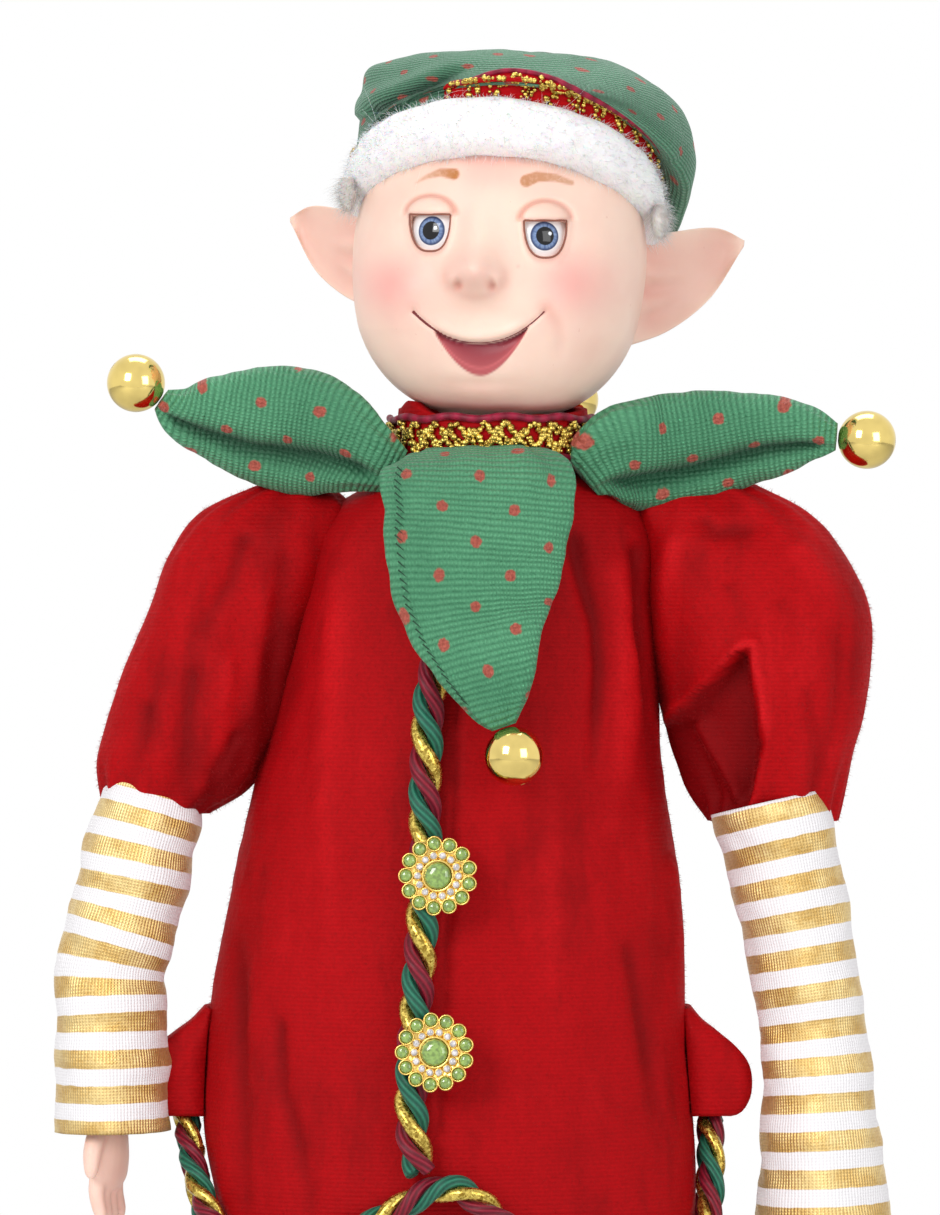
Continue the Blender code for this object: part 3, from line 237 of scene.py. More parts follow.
def looksInward(points, quads):  # by the sign of the volume inside the faces
    a, b, c, d = (points[quads[:, k]] - points.mean(0) for k in range(4))
    return (a * np.cross(b, c)).sum() + (a * np.cross(c, d)).sum() < 0


# a grid of places as a skin; rows and columns may close on themselves,
# and open ends may be capped round a middle point
def surface(name, grid, finish, uv=None, aroundRows=False, aroundColumns=True, caps=True, marks=None):
    rows, columns = grid.shape[:2]
    if uv is None:
        uv = clothMap(grid, aroundRows, aroundColumns)
    i, j, quads, tris = gridFaces(rows, columns, aroundRows, aroundColumns)
    corner = np.stack([uv[i, j], uv[i, j + 1], uv[i + 1, j + 1], uv[i + 1, j]], 2).reshape(-1, 4, 2)
    points, triCorner = grid.reshape(-1, 3), np.zeros((0, 3, 2))
    if caps and aroundColumns and not aroundRows:
        points = np.vstack([points, grid[0].mean(0), grid[-1].mean(0)])
        top, bottom = uv[0, :columns], uv[-1, :columns]
        triCorner = np.concatenate([np.stack([top, uv[0, 1:columns + 1], top], 1),
                                    np.stack([bottom, bottom, uv[-1, 1:columns + 1]], 1)])
        marks = {key: np.concatenate([value.ravel(), [value[0].mean(), value[-1].mean()]])
                 for key, value in (marks or {}).items()}
    else:
        tris = tris[:0]
    if looksInward(points, quads):
        quads, corner, tris, triCorner = quads[:, ::-1], corner[:, ::-1], tris[:, ::-1], triCorner[:, ::-1]
    corners = np.concatenate([corner.reshape(-1, 2), triCorner.reshape(-1, 2)])
    return makeMesh(name, points, [quads, tris], finish, corners, marks)


def stackGrids(name, grids, finish, smooth=True):  # capped grids in one mesh
    points, quads, tris, first = [], [], [], 0
    for grid in grids:
        _, _, quad, tri = gridFaces(*grid.shape[:2])
        spots = np.vstack([grid.reshape(-1, 3), grid[0].mean(0), grid[-1].mean(0)])
        if looksInward(spots, quad):
            quad, tri = quad[:, ::-1], tri[:, ::-1]
        points.append(spots)
        quads.append(quad + first)
        tris.append(tri + first)
        first += len(spots)
    return makeMesh(name, np.vstack(points), [np.vstack(quads), np.vstack(tris)], finish, smooth=smooth)


# many thin hairs in one mesh: each is a three-sided tube that bends towards its droop and narrows to a point
def hairs(name, roots, ways, lengths, width, droop, finish, rings=2, twist=0.0):
    draw = np.random.default_rng(5)
    count = len(roots)
    side = unit(np.cross(ways, draw.normal(size=(count, 3))))
    other = np.cross(ways, side)
    curl = draw.normal(size=(count, 3)) * twist
    shares = np.linspace(0, 1, rings + 1)
    places = []
    for share in shares[:-1]:
        centre = roots + ways * (lengths * share)[:, None] + (droop + curl) * (lengths * share**2)[:, None]
        for k in range(3):
            angle = turn * k / 3
            thick = width * (1 - 0.75 * share)
            places.append(centre + (side * np.cos(angle) + other * np.sin(angle)) * thick)
    places.append(roots + ways * lengths[:, None] + (droop + curl) * lengths[:, None])
    points = np.stack(places, 1)
    each = points.shape[1]
    tris = [(0, 2, 1)]
    for low in range(0, 3 * (rings - 1), 3):
        for k in range(3):
            a, b = low + k, low + (k + 1) % 3
            tris += [(a, b, b + 3), (a, b + 3, a + 3)]
    last = (rings - 1) * 3
    tris += [(last + k, last + (k + 1) % 3, each - 1) for k in range(3)]
    faces = (np.arange(count)[:, None, None] * each + np.array(tris)[None]).reshape(-1, 3)
    return makeMesh(name, points.reshape(-1, 3), [faces], finish)


# random places on a grid skin, with their outward directions, more on the larger cells
def scatter(grid, count, seed, aroundRows=False, aroundColumns=True):
    draw = np.random.default_rng(seed)
    if aroundRows:
        grid = np.concatenate([grid, grid[:1]], 0)
    if aroundColumns:
        grid = np.concatenate([grid, grid[:, :1]], 1)
    a, b, c = grid[:-1, :-1].reshape(-1, 3), grid[:-1, 1:].reshape(-1, 3), grid[1:, :-1].reshape(-1, 3)
    normal = np.cross(b - a, c - a)
    area = np.linalg.norm(normal, axis=1)
    cell = draw.choice(len(area), count, p=area / area.sum())
    u, v = draw.uniform(size=(2, count))
    places = a[cell] + (b - a)[cell] * u[:, None] + (c - a)[cell] * v[:, None]
    middle = grid.reshape(-1, 3).mean(0)
    sign = np.sign(((a - middle) * normal).sum())
    return places, unit(normal[cell]) * sign


def wear(obj, slotName, *nodes):  # the piece goes with the figure and may stand for solids
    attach(obj, "root")
    if nodes:
        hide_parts(*nodes)
    return obj


# short hairs that stand on a velvet skin; lengths are in millimetres
def velvetNap(name, skin, count, seed, spread, drift, shortest, longest, inset=0.1, aroundColumns=True):
    roots, ways = scatter(skin, count, seed, aroundColumns=aroundColumns)
    ways = unit(ways + np.random.default_rng(seed + 1).normal(size=ways.shape) * spread + drift)
    lengths = np.random.default_rng(seed + 2).uniform(shortest, longest, count) * mm
    nap = hairs(name, roots - ways * inset * mm, ways, lengths, 0.055 * mm, np.zeros(3), velvetPile, 1)
    wear(nap, "red_velvet")


def thicken(obj, wall, offset=-1.0):
    modifier = obj.modifiers.new("Wall", "SOLIDIFY")
    modifier.thickness = wall
    modifier.offset = offset
    modifier.use_even_offset = False
    return obj


# a short cloth simulation fills the piece out; "held" says how firmly each point stays,
# and none moves past the cap
def plump(obj, held, cap, pressure=4.0):
    group = obj.vertex_groups.new(name="held")
    for level in np.unique(np.round(held, 1)):
        if level > 0:
            group.add([int(k) for k in np.nonzero(np.round(held, 1) == level)[0]], float(level), "REPLACE")
    before = np.empty(len(obj.data.vertices) * 3, np.float32)
    obj.data.vertices.foreach_get("co", before)
    cloth = obj.modifiers.new("Fill", "CLOTH")
    cloth.settings.use_pressure = True
    cloth.settings.uniform_pressure_force = pressure
    cloth.settings.vertex_group_mass = "held"
    cloth.settings.effector_weights.gravity = 0
    cloth.settings.quality = 5
    cloth.settings.mass = 0.2
    scene = bpy.context.scene
    for step in range(1, 21):
        scene.frame_set(step)
    graph = bpy.context.evaluated_depsgraph_get()
    after = np.empty_like(before)
    obj.evaluated_get(graph).data.vertices.foreach_get("co", after)
    obj.modifiers.remove(cloth)
    scene.frame_set(1)
    move = (after - before).reshape(-1, 3)
    size = np.linalg.norm(move, axis=1, keepdims=True)
    move *= np.minimum(1, cap / np.maximum(size, 1e-9))
    obj.data.vertices.foreach_set("co", (before.reshape(-1, 3) + move).astype(np.float32).ravel())
    obj.data.update()
    print("  filled", obj.name, "mean move", round(float(size.mean()) * 1000, 2), "mm")
    return obj


# finishes

def tone(red, green, blue):  # a colour as a picture shows it, made linear for the shader
    shown = np.array([red, green, blue]) / 255
    linear = np.where(shown <= 0.04045, shown / 12.92, ((shown + 0.055) / 1.055) ** 2.4)
    return (float(linear[0]), float(linear[1]), float(linear[2]), 1.0)


class Finish:  # a material, its shader, and short ways to add and join nodes
    def __init__(self, name, colour, roughness, **settings):
        self.material = bpy.data.materials.new(name)
        self.material.use_nodes = True
        self.tree = self.material.node_tree
        self.shader = self.tree.nodes["Principled BSDF"]
        self.set(Base_Color=colour, Roughness=roughness, **settings)

    def set(self, **settings):
        for key, value in settings.items():
            self.plug(self.shader.inputs[key.replace("_", " ")], value)

    def plug(self, socket, value):
        if isinstance(value, bpy.types.NodeSocket):
            self.tree.links.new(value, socket)
        elif value is not None:
            socket.default_value = value

    def node(self, kind, inputs=(), **settings):
        made = self.tree.nodes.new("ShaderNode" + kind)
        for key, value in settings.items():
            setattr(made, key, value)
        for key, value in (inputs.items() if isinstance(inputs, dict) else enumerate(inputs)):
            self.plug(made.inputs[key], value)
        return made

    def math(self, operation, *values, clamp=False):
        return self.node("Math", values, operation=operation, use_clamp=clamp).outputs[0]

    def times(self, first, second):
        return self.math("MULTIPLY", first, second)

    def plus(self, first, second):
        return self.math("ADD", first, second)

    def minus(self, first, second):
        return self.math("SUBTRACT", first, second)

    def over(self, first, second):
        return self.math("DIVIDE", first, second)

    def scaled(self, value, factor, added, clamp=False):
        return self.math("MULTIPLY_ADD", value, factor, added, clamp=clamp)

    def spread(self, value, start, end, low=0.0, high=1.0):  # value from start..end to low..high, clamped
        return self.node("MapRange", [value, start, end, low, high],
                         interpolation_type="SMOOTHSTEP").outputs[0]

    def mix(self, factor, first, second):
        made = self.node("Mix", data_type="RGBA")
        for index, value in ((0, factor), (6, first), (7, second)):
            self.plug(made.inputs[index], value)
        return made.outputs[2]

    def noise(self, size, detail=3.0, rough=0.5, stretch=None):
        vector = self.place()
        if stretch:
            vector = self.node("Mapping", {"Vector": vector, "Scale": stretch}).outputs[0]
        return self.node("TexNoise", {"Vector": vector, "Scale": 1 / size, "Detail": detail,
                                      "Roughness": rough}).outputs[0]

    def place(self):
        return self.node("TexCoord").outputs["Object"]

    def mark(self, name):
        return self.node("Attribute", attribute_name=name).outputs["Fac"]

    def cloth(self):  # the piece's own u and v, in metres
        made = self.node("SeparateXYZ", [self.node("UVMap", uv_map="UVMap").outputs[0]])
        return made.outputs[0], made.outputs[1]

    def wave(self, value, period):  # 0 to 1 and back once a period
        angle = self.times(value, turn / period)
        return self.scaled(self.math("SINE", angle), 0.5, 0.5)

    def bump(self, height, distance, strength=1.0, under=None):
        made = self.node("Bump", {"Strength": strength, "Distance": distance, "Height": height})
        if under:
            self.plug(made.inputs["Normal"], under)
        return made.outputs[0]


# velvet: pure red face on, with painted shade down in a valley and a painted highlight on a ridge, where the
# nap turns, with faint rows of pile
def velvetFinish(name, body, light, dark):
    f = Finish(name, body, 0.7, Sheen_Weight=0.22, Sheen_Roughness=0.3, Sheen_Tint=tone(255, 50, 56),
               Specular_IOR_Level=0.12)
    fold = f.mark("fold")  # -1 in a valley, 0 on flat cloth, 1 on a ridge; it places the painted shade and highlight
    crush = f.noise(0.016, 4.0, 0.6, stretch=(1.0, 1.0, 0.32))
    fine = f.noise(0.0009, 2.0, 0.7)
    rows = f.wave(f.node("SeparateXYZ", [f.place()]).outputs[2], 0.0011)
    colour = f.mix(f.spread(crush, 0.5, 0.3, 0.0, 0.45), body, dark)
    colour = f.mix(f.spread(crush, 0.55, 0.75, 0.0, 0.4), colour, light)
    # painted shade down in a valley and a painted highlight on a ridge, by the fold mark
    colour = f.mix(f.spread(fold, 0.0, -1.0, 0.0, 0.72), colour, dark)
    colour = f.mix(f.spread(fold, 0.1, 1.0, 0.0, 0.85), colour, light)
    colour = f.mix(f.spread(fine, 0.3, 0.7, 0.0, 0.22), colour, dark)
    f.set(Base_Color=f.mix(f.times(rows, 0.14), colour, dark))
    nap = f.bump(f.noise(0.007, 3.0, 0.6), 0.0014, 0.4)
    f.set(Normal=f.bump(f.plus(fine, f.times(rows, 0.4)), 0.0003, 0.5, nap))
    return f.material


# ribbed green lame: ribs across the piece, finer threads along it, small glints, and scattered woven dots
def greenFinish(name, light, dark, dotPitch=0.0216, dotRow=0.0086, dotRadius=0.0016, shift=0.0,
                ribPitch=0.00156):
    f = Finish(name, light, 0.5, Sheen_Weight=0.15, Sheen_Roughness=0.4, Specular_IOR_Level=0.4)
    u, v = f.cloth()
    wobble = f.times(f.noise(0.006, 2.0), 0.0009)
    ribs = f.wave(f.plus(v, wobble), ribPitch)
    threads = f.wave(f.plus(u, wobble), 0.0011)
    knit = f.noise(0.0007, 2.0, 0.7)
    weave = f.times(f.math("POWER", ribs, 0.6), f.scaled(threads, 0.5, 0.5))
    colour = f.mix(f.scaled(knit, 0.6, f.times(weave, 0.62), clamp=True), dark, light)
    # painted shade: the fold mark darkens the cloth down in a crease's valley
    colour = f.mix(f.spread(f.mark("fold"), 0.0, -1.0, 0.0, 0.85), colour,
                   tuple(0.35 * c for c in dark[:3]) + (1.0,))
    patches = f.noise(0.03, 2.0)
    colour = f.mix(f.spread(patches, 0.35, 0.7, 0.0, 0.35), colour, dark)
    row = f.math("FLOOR", f.over(v, dotRow))
    slide = f.scaled(f.math("MODULO", f.math("ABSOLUTE", row), 2.0), 0.5, shift)
    away = f.minus(f.math("FRACT", f.plus(f.over(u, dotPitch), slide)), 0.5)
    down = f.minus(f.math("FRACT", f.over(v, dotRow)), 0.5)
    far = f.math("SQRT", f.plus(f.math("POWER", f.times(f.math("ABSOLUTE", away), dotPitch), 2.0),
                                f.math("POWER", f.times(f.math("ABSOLUTE", down), dotRow), 2.0)))
    far = f.scaled(f.noise(0.0011, 2.0), 0.0012, far)
    dot = f.spread(far, dotRadius + 0.0009, dotRadius + 0.0003)
    dotColour = f.mix(f.noise(0.0008, 2.0), tone(120, 40, 34), tone(206, 106, 86))
    f.set(Base_Color=f.mix(dot, colour, dotColour))
    glint = f.spread(f.noise(0.00045, 1.0, 0.5), 0.66, 0.72)
    f.set(Metallic=f.times(glint, 0.8), Roughness=f.scaled(glint, -0.25, 0.55))
    height = f.plus(f.times(weave, 0.8), f.times(knit, 0.4))
    f.set(Normal=f.bump(height, 0.0007, 0.95))
    return f.material


# skin: soft moulded vinyl, with blush, lips and brows painted by marks on the mesh, and painted shade in its
# creases and hollows by the crease mark
def skinFinish(name):
    f = Finish(name, tone(250, 215, 196), 0.42, Subsurface_Weight=0.12, Subsurface_Scale=0.004,
               Subsurface_Radius=(1.0, 0.35, 0.2), Specular_IOR_Level=0.35)
    cloudy = f.noise(0.018, 3.0)
    colour = f.mix(f.spread(cloudy, 0.3, 0.7), tone(247, 209, 192), tone(253, 220, 202))
    colour = f.mix(f.mark("blush"), colour, tone(238, 148, 146))
    # the crease mark: painted shade in creases, nostrils and hollows; over each lid it is partly a pink
    # painted line
    colour = f.mix(f.mark("crease"), colour, tone(204, 132, 116))
    brow = f.times(f.mark("brow"), f.spread(f.noise(0.0012, 3.0, 0.6), 0.2, 0.6, 0.7, 1.0))
    colour = f.mix(brow, colour, tone(186, 120, 62))
    lip = f.mix(f.mark("lipDeep"), tone(208, 104, 108), tone(128, 36, 50))
    colour = f.mix(f.mark("lip"), colour, lip)
    fleck = f.spread(f.noise(0.0016, 1.0, 0.3), 0.79, 0.83, 0.0, 0.25)
    f.set(Base_Color=f.mix(fleck, colour, tone(214, 150, 130)))
    f.set(Roughness=f.scaled(f.noise(0.004, 2.0), 0.12, 0.38))
    f.set(Normal=f.bump(f.noise(0.0009, 2.0), 0.00008, 0.35))
    return f.material


# a painted glass eye: u runs round the iris and v is the distance from its middle, in eye radii
def eyeFinish():
    f = Finish("paintedEye", tone(240, 240, 243), 0.08, Coat_Weight=0.35, Coat_Roughness=0.02,
               Specular_IOR_Level=0.25)
    u, v = f.cloth()
    streak = f.node("CombineXYZ", [f.times(u, 26.0), f.times(v, 3.0), 0.0]).outputs[0]
    rays = f.node("TexNoise", {"Vector": streak, "Scale": 1.0, "Detail": 2.0}).outputs[0]
    iris = f.mix(f.spread(rays, 0.3, 0.7), tone(84, 108, 156), tone(140, 164, 202))
    iris = f.mix(f.spread(v, 0.30, 0.39), iris, tone(50, 66, 108))
    pupil = f.mix(f.spread(v, 0.243, 0.266), tone(10, 10, 14), iris)
    angle = f.times(u, 2 * np.pi)
    right = f.minus(f.times(v, f.math("COSINE", angle)), -0.142)
    high = f.minus(f.times(v, f.math("SINE", angle)), 0.067)
    far = f.math("SQRT", f.plus(f.times(right, right), f.times(high, high)))
    pupil = f.mix(f.spread(far, 0.062, 0.038), pupil, tone(236, 240, 246))  # a painted highlight, standing in for a lamp's reflection
    white = f.mix(f.spread(v, 0.6, 0.95), tone(246, 246, 248), tone(226, 210, 208))
    f.set(Base_Color=f.mix(f.spread(v, 0.388, 0.412), pupil, white))
    return f.material


# fur: bright fibres, a little warmer and darker down between them
def furFinish(name, tip, root):
    f = Finish(name, tip, 0.9, Sheen_Weight=0.4, Sheen_Roughness=0.5, Subsurface_Weight=0.5,
               Subsurface_Scale=0.003)
    f.set(Base_Color=f.mix(f.spread(f.noise(0.0025, 3.0, 0.6), 0.3, 0.7), root, tip))
    f.set(Normal=f.bump(f.noise(0.0011, 3.0, 0.7), 0.0003, 0.3))
    return f.material


# bright metal: plated beads and cast settings
def goldFinish(name, colour, rough, grain=0.0, size=0.001):
    f = Finish(name, colour, rough, Metallic=1.0, Specular_IOR_Level=0.5)
    tint = f.noise(0.006, 2.0)
    shade = tuple(0.82 * c for c in colour[:3]) + (1.0,)
    f.set(Base_Color=f.mix(f.spread(tint, 0.3, 0.7), shade, colour))
    f.set(Roughness=f.scaled(f.noise(0.003, 3.0), 0.06, rough - 0.02))
    if grain:
        f.set(Normal=f.bump(f.noise(size, 2.0, 0.6), size * 0.5, grain))
    return f.material


# metal thread: flat foil strips at all angles, so that it sparkles
def lameFinish(name, light, dark, size=0.0006):
    f = Finish(name, light, 0.25, Metallic=0.9, Specular_IOR_Level=0.6)
    cells = f.node("TexVoronoi", {"Vector": f.place(), "Scale": 1 / size})
    shade = f.node("SeparateColor", [cells.outputs["Color"]]).outputs[0]
    f.set(Base_Color=f.mix(shade, dark, light))
    f.set(Roughness=f.scaled(shade, 0.2, 0.15))
    f.set(Normal=f.bump(shade, size * 0.6, 0.9))
    return f.material


# twisted cord: fine threads that run round each strand on the slant
def cordFinish(name, light, dark):
    f = Finish(name, light, 0.5, Sheen_Weight=0.08, Sheen_Roughness=0.3, Specular_IOR_Level=0.35)
    u, v = f.cloth()
    slant = f.plus(f.times(u, 7.0), f.times(v, 1 / 0.0042))
    lines = f.wave(slant, 1.0)
    fine = f.noise(0.0006, 2.0, stretch=(1.0, 1.0, 0.5))
    f.set(Base_Color=f.mix(f.scaled(fine, 0.4, f.times(lines, 0.7), clamp=True), dark, light))
    f.set(Normal=f.bump(f.scaled(fine, 0.4, lines), 0.0003, 0.8))
    return f.material


# striped knit: white jersey with bands of gold foil printed on it, both over the same fine stitches
def stripeFinish(name, period, goldShare, start, backing):
    f = Finish(name, tone(240, 238, 240), 0.7, Sheen_Weight=0.1, Specular_IOR_Level=0.35)
    u, v = f.cloth()
    edge = f.times(f.noise(0.004, 2.0), 0.0006)
    share = f.math("FRACT", f.over(f.plus(f.plus(v, edge), start), period))
    gold = f.times(f.spread(share, 0.0, 0.035), f.spread(share, goldShare, goldShare - 0.035))
    stitch = f.times(f.wave(u, 0.00085), f.scaled(f.wave(v, 0.0008), 0.5, 0.5))
    cells = f.node("TexVoronoi", {"Vector": f.place(), "Scale": 1 / 0.0008})
    flakes = f.node("SeparateColor", [cells.outputs["Color"]]).outputs[0]
    worn = f.spread(f.noise(0.01, 3.0, 0.6), 0.35, 0.65)
    foil = f.mix(f.scaled(flakes, 0.35, f.times(worn, 0.65)), tone(206, 166, 92), tone(242, 216, 152))
    foil = f.mix(f.times(stitch, 0.4), foil, tone(150, 112, 54))
    white = f.mix(f.times(stitch, 0.5), backing, tone(226, 220, 224))
    f.set(Base_Color=f.mix(gold, white, foil))
    f.set(Metallic=f.times(gold, 0.55))
    f.set(Roughness=f.scaled(gold, -0.36, f.scaled(flakes, 0.08, 0.7)))
    height = f.plus(stitch, f.times(f.times(flakes, gold), 0.25))
    f.set(Normal=f.bump(height, 0.0003, 0.55))
    return f.material


# a cut stone: clear, coloured, and bright where its facets turn
def stoneFinish(name, colour, clear=0.35):
    f = Finish(name, colour, 0.05, Transmission_Weight=clear, IOR=1.6, Coat_Weight=0.6, Coat_Roughness=0.03)
    f.set(Base_Color=f.mix(f.spread(f.noise(0.0011, 1.0), 0.35, 0.65),
                           tuple(0.55 * c for c in colour[:3]) + (1.0,), colour))
    return f.material


# plain woven cotton for what fills and lines the figure, and steel for its wires
def plainFinish(name, colour, rough=0.85, size=0.0009, metal=0.0):
    f = Finish(name, colour, rough, Metallic=metal)
    x, y, z = f.node("SeparateXYZ", [f.place()]).outputs[:3]
    weave = f.times(f.wave(f.plus(x, y), size), f.wave(z, size))
    shade = tuple(0.8 * c for c in colour[:3]) + (1.0,)
    f.set(Base_Color=f.mix(f.scaled(weave, 0.6, f.times(f.noise(0.01), 0.4)), shade, colour))
    f.set(Normal=f.bump(weave, size * 0.3, 0.4))
    return f.material


tunicVelvet = velvetFinish("tunicVelvet", tone(176, 1, 10), tone(208, 14, 22), tone(104, 0, 3))
sleeveVelvet = velvetFinish("sleeveVelvet", tone(180, 1, 9), tone(216, 20, 28), tone(104, 0, 4))
velvetPile = plainFinish("velvetPile", tone(184, 6, 14), 0.9)
petalGreen = greenFinish("petalGreen", tone(98, 172, 128), tone(30, 100, 66))
hatGreen = greenFinish("hatGreen", tone(116, 170, 138), tone(36, 96, 68), 0.0185, 0.0078, 0.0014, 0.2,
                       0.0013)
stitchGreen = plainFinish("stitchGreen", tone(22, 70, 46), 0.7)
skinPaint = skinFinish("skinPaint")
eyePaint = eyeFinish()
whiteFur = furFinish("whiteFur", tone(254, 254, 254), tone(246, 243, 246))
greyHair = furFinish("greyHair", tone(226, 224, 220), tone(196, 190, 184))
goldBead = goldFinish("goldBead", tone(240, 214, 130), 0.1)
goldCup = goldFinish("goldCup", tone(236, 200, 112), 0.22, 0.2, 0.0008)
goldThread = lameFinish("goldThread", tone(240, 214, 110), tone(140, 108, 30))
goldNet = lameFinish("goldNet", tone(244, 216, 110), tone(120, 90, 26), 0.0008)
burgundyCord = cordFinish("burgundyCord", tone(144, 18, 44), tone(72, 3, 20))
greenCord = cordFinish("greenCord", tone(44, 124, 98), tone(8, 58, 46))
magentaCord = cordFinish("magentaCord", tone(158, 18, 58), tone(96, 6, 30))
greenStone = stoneFinish("greenStone", tone(172, 212, 104))
clearStone = stoneFinish("clearStone", tone(246, 242, 246), 0.15)
brownLine = plainFinish("brownLine", tone(150, 88, 70), 0.5)
lipLine = plainFinish("lipLine", tone(120, 34, 38), 0.5)
fillCotton = plainFinish("fillCotton", tone(226, 218, 200))
wireSteel = plainFinish("wireSteel", tone(190, 190, 194), 0.3, 0.0009, 1.0)
print("finishes made")

# head

headForm = {
    "centre": (7.8, -4.0, 247.0), "halfWidth": 38.5, "halfDepth": 38.0, "halfHeight": 43.0,
    "yaw": np.radians(-8.0), "roll": np.radians(3.0), "jaw": 2.4, "columns": 290, "rows": 232,
}
# as seen from the front, in millimetres
eyes = {
    "right": {"x": -10.4, "lidZ": 557.2, "halfWidth": 5.3, "drop": 9.6, "iris": (-10.8, 553.2), "lid": 4.4},
    "left": {"x": 19.6, "lidZ": 555.6, "halfWidth": 5.55, "drop": 9.7, "iris": (19.7, 551.7), "lid": 4.6},
}
eyeRadius = 9.4
nose = {"x": 1.4, "tipZ": 543.2, "nostrils": (-3.0, 5.6), "nostrilZ": 538.9}
mouth = {"left": -14.8, "right": 19.3, "cornerZ": 532.0, "droop": 8.1, "lipLeft": -9.9, "lipRight": 15.6,
         "lipDeep": 8.6}


def headAxes():  # the head's own axes after its turn and tilt: columns are across, back and up
    yaw, roll = headForm["yaw"], headForm["roll"]
    turnZ = np.array([[np.cos(yaw), -np.sin(yaw), 0], [np.sin(yaw), np.cos(yaw), 0], [0, 0, 1]])
    tipY = np.array([[np.cos(roll), 0, np.sin(roll)], [0, 1, 0], [-np.sin(roll), 0, np.cos(roll)]])
    return tipY @ turnZ


headTurn = headAxes()
headPlace = overHips(headForm["centre"])


def headToWorld(points):
    return points * mm @ headTurn.T + headPlace


# the bare head: a superellipsoid from a direction, with a fuller jaw, and the main bumps of the face
def headShape(direction):
    power = (2.0 + (headForm["jaw"] - 2.0) * np.clip(-direction[..., 2] * 2, 0, 1))
    halves = (headForm["halfWidth"], headForm["halfDepth"], headForm["halfHeight"])
    size = sum(np.abs(direction[..., k] / halves[k]) ** power for k in range(3)) ** (-1 / power)
    point = direction * size[..., None]
    front = np.clip((-direction[..., 1] - 0.1) / 0.4, 0, 1)
    x, z = np.abs(point[..., 0]), point[..., 2]
    relief = (7.6 * hill(x, z, 0, -6.5, 6.4, 6.2) + 2.4 * hill(x, z, 0, 3.5, 4.5, 7.0) + 2.6
              * hill(x, z, 20, -12, 10, 9)
              + 2.2 * hill(x, z, 0, -38, 9, 7) - 1.6 * hill(x, z, 15, 4.6, 7.5, 6.0) - 1.0
              * hill(x, z, 0, -17, 10, 3.5))
    point[..., 1] -= relief * front
    return point, front


def mouthLine(x):  # height of the line between the lips
    middle, half = (mouth["left"] + mouth["right"]) / 2, (mouth["right"] - mouth["left"]) / 2
    share = np.clip(np.abs((x - middle) / half), 0, 1)
    return mouth["cornerZ"] - mouth["droop"] * (1 - share**2.2)


def lipBelow(x):  # height of the lower edge of the open mouth's painted lip
    middle, half = (mouth["lipLeft"] + mouth["lipRight"]) / 2, (mouth["lipRight"] - mouth["lipLeft"]) / 2
    share = np.clip(np.abs((x - middle) / half), 0, 1)
    return mouthLine(x) - mouth["lipDeep"] * (1 - share**1.7)


def eyeOpening(x, z, eye):  # about the distance outside the opening: flat on top, round below
    across = np.abs((x - eye["x"]) / eye["halfWidth"])
    below = np.clip((eye["lidZ"] - z) / eye["drop"], 0, None)
    bowl = ((across**2.7 + below**2.2) ** (1 / 2.4) - 1) * eye["halfWidth"]
    return np.maximum(bowl, z - eye["lidZ"])


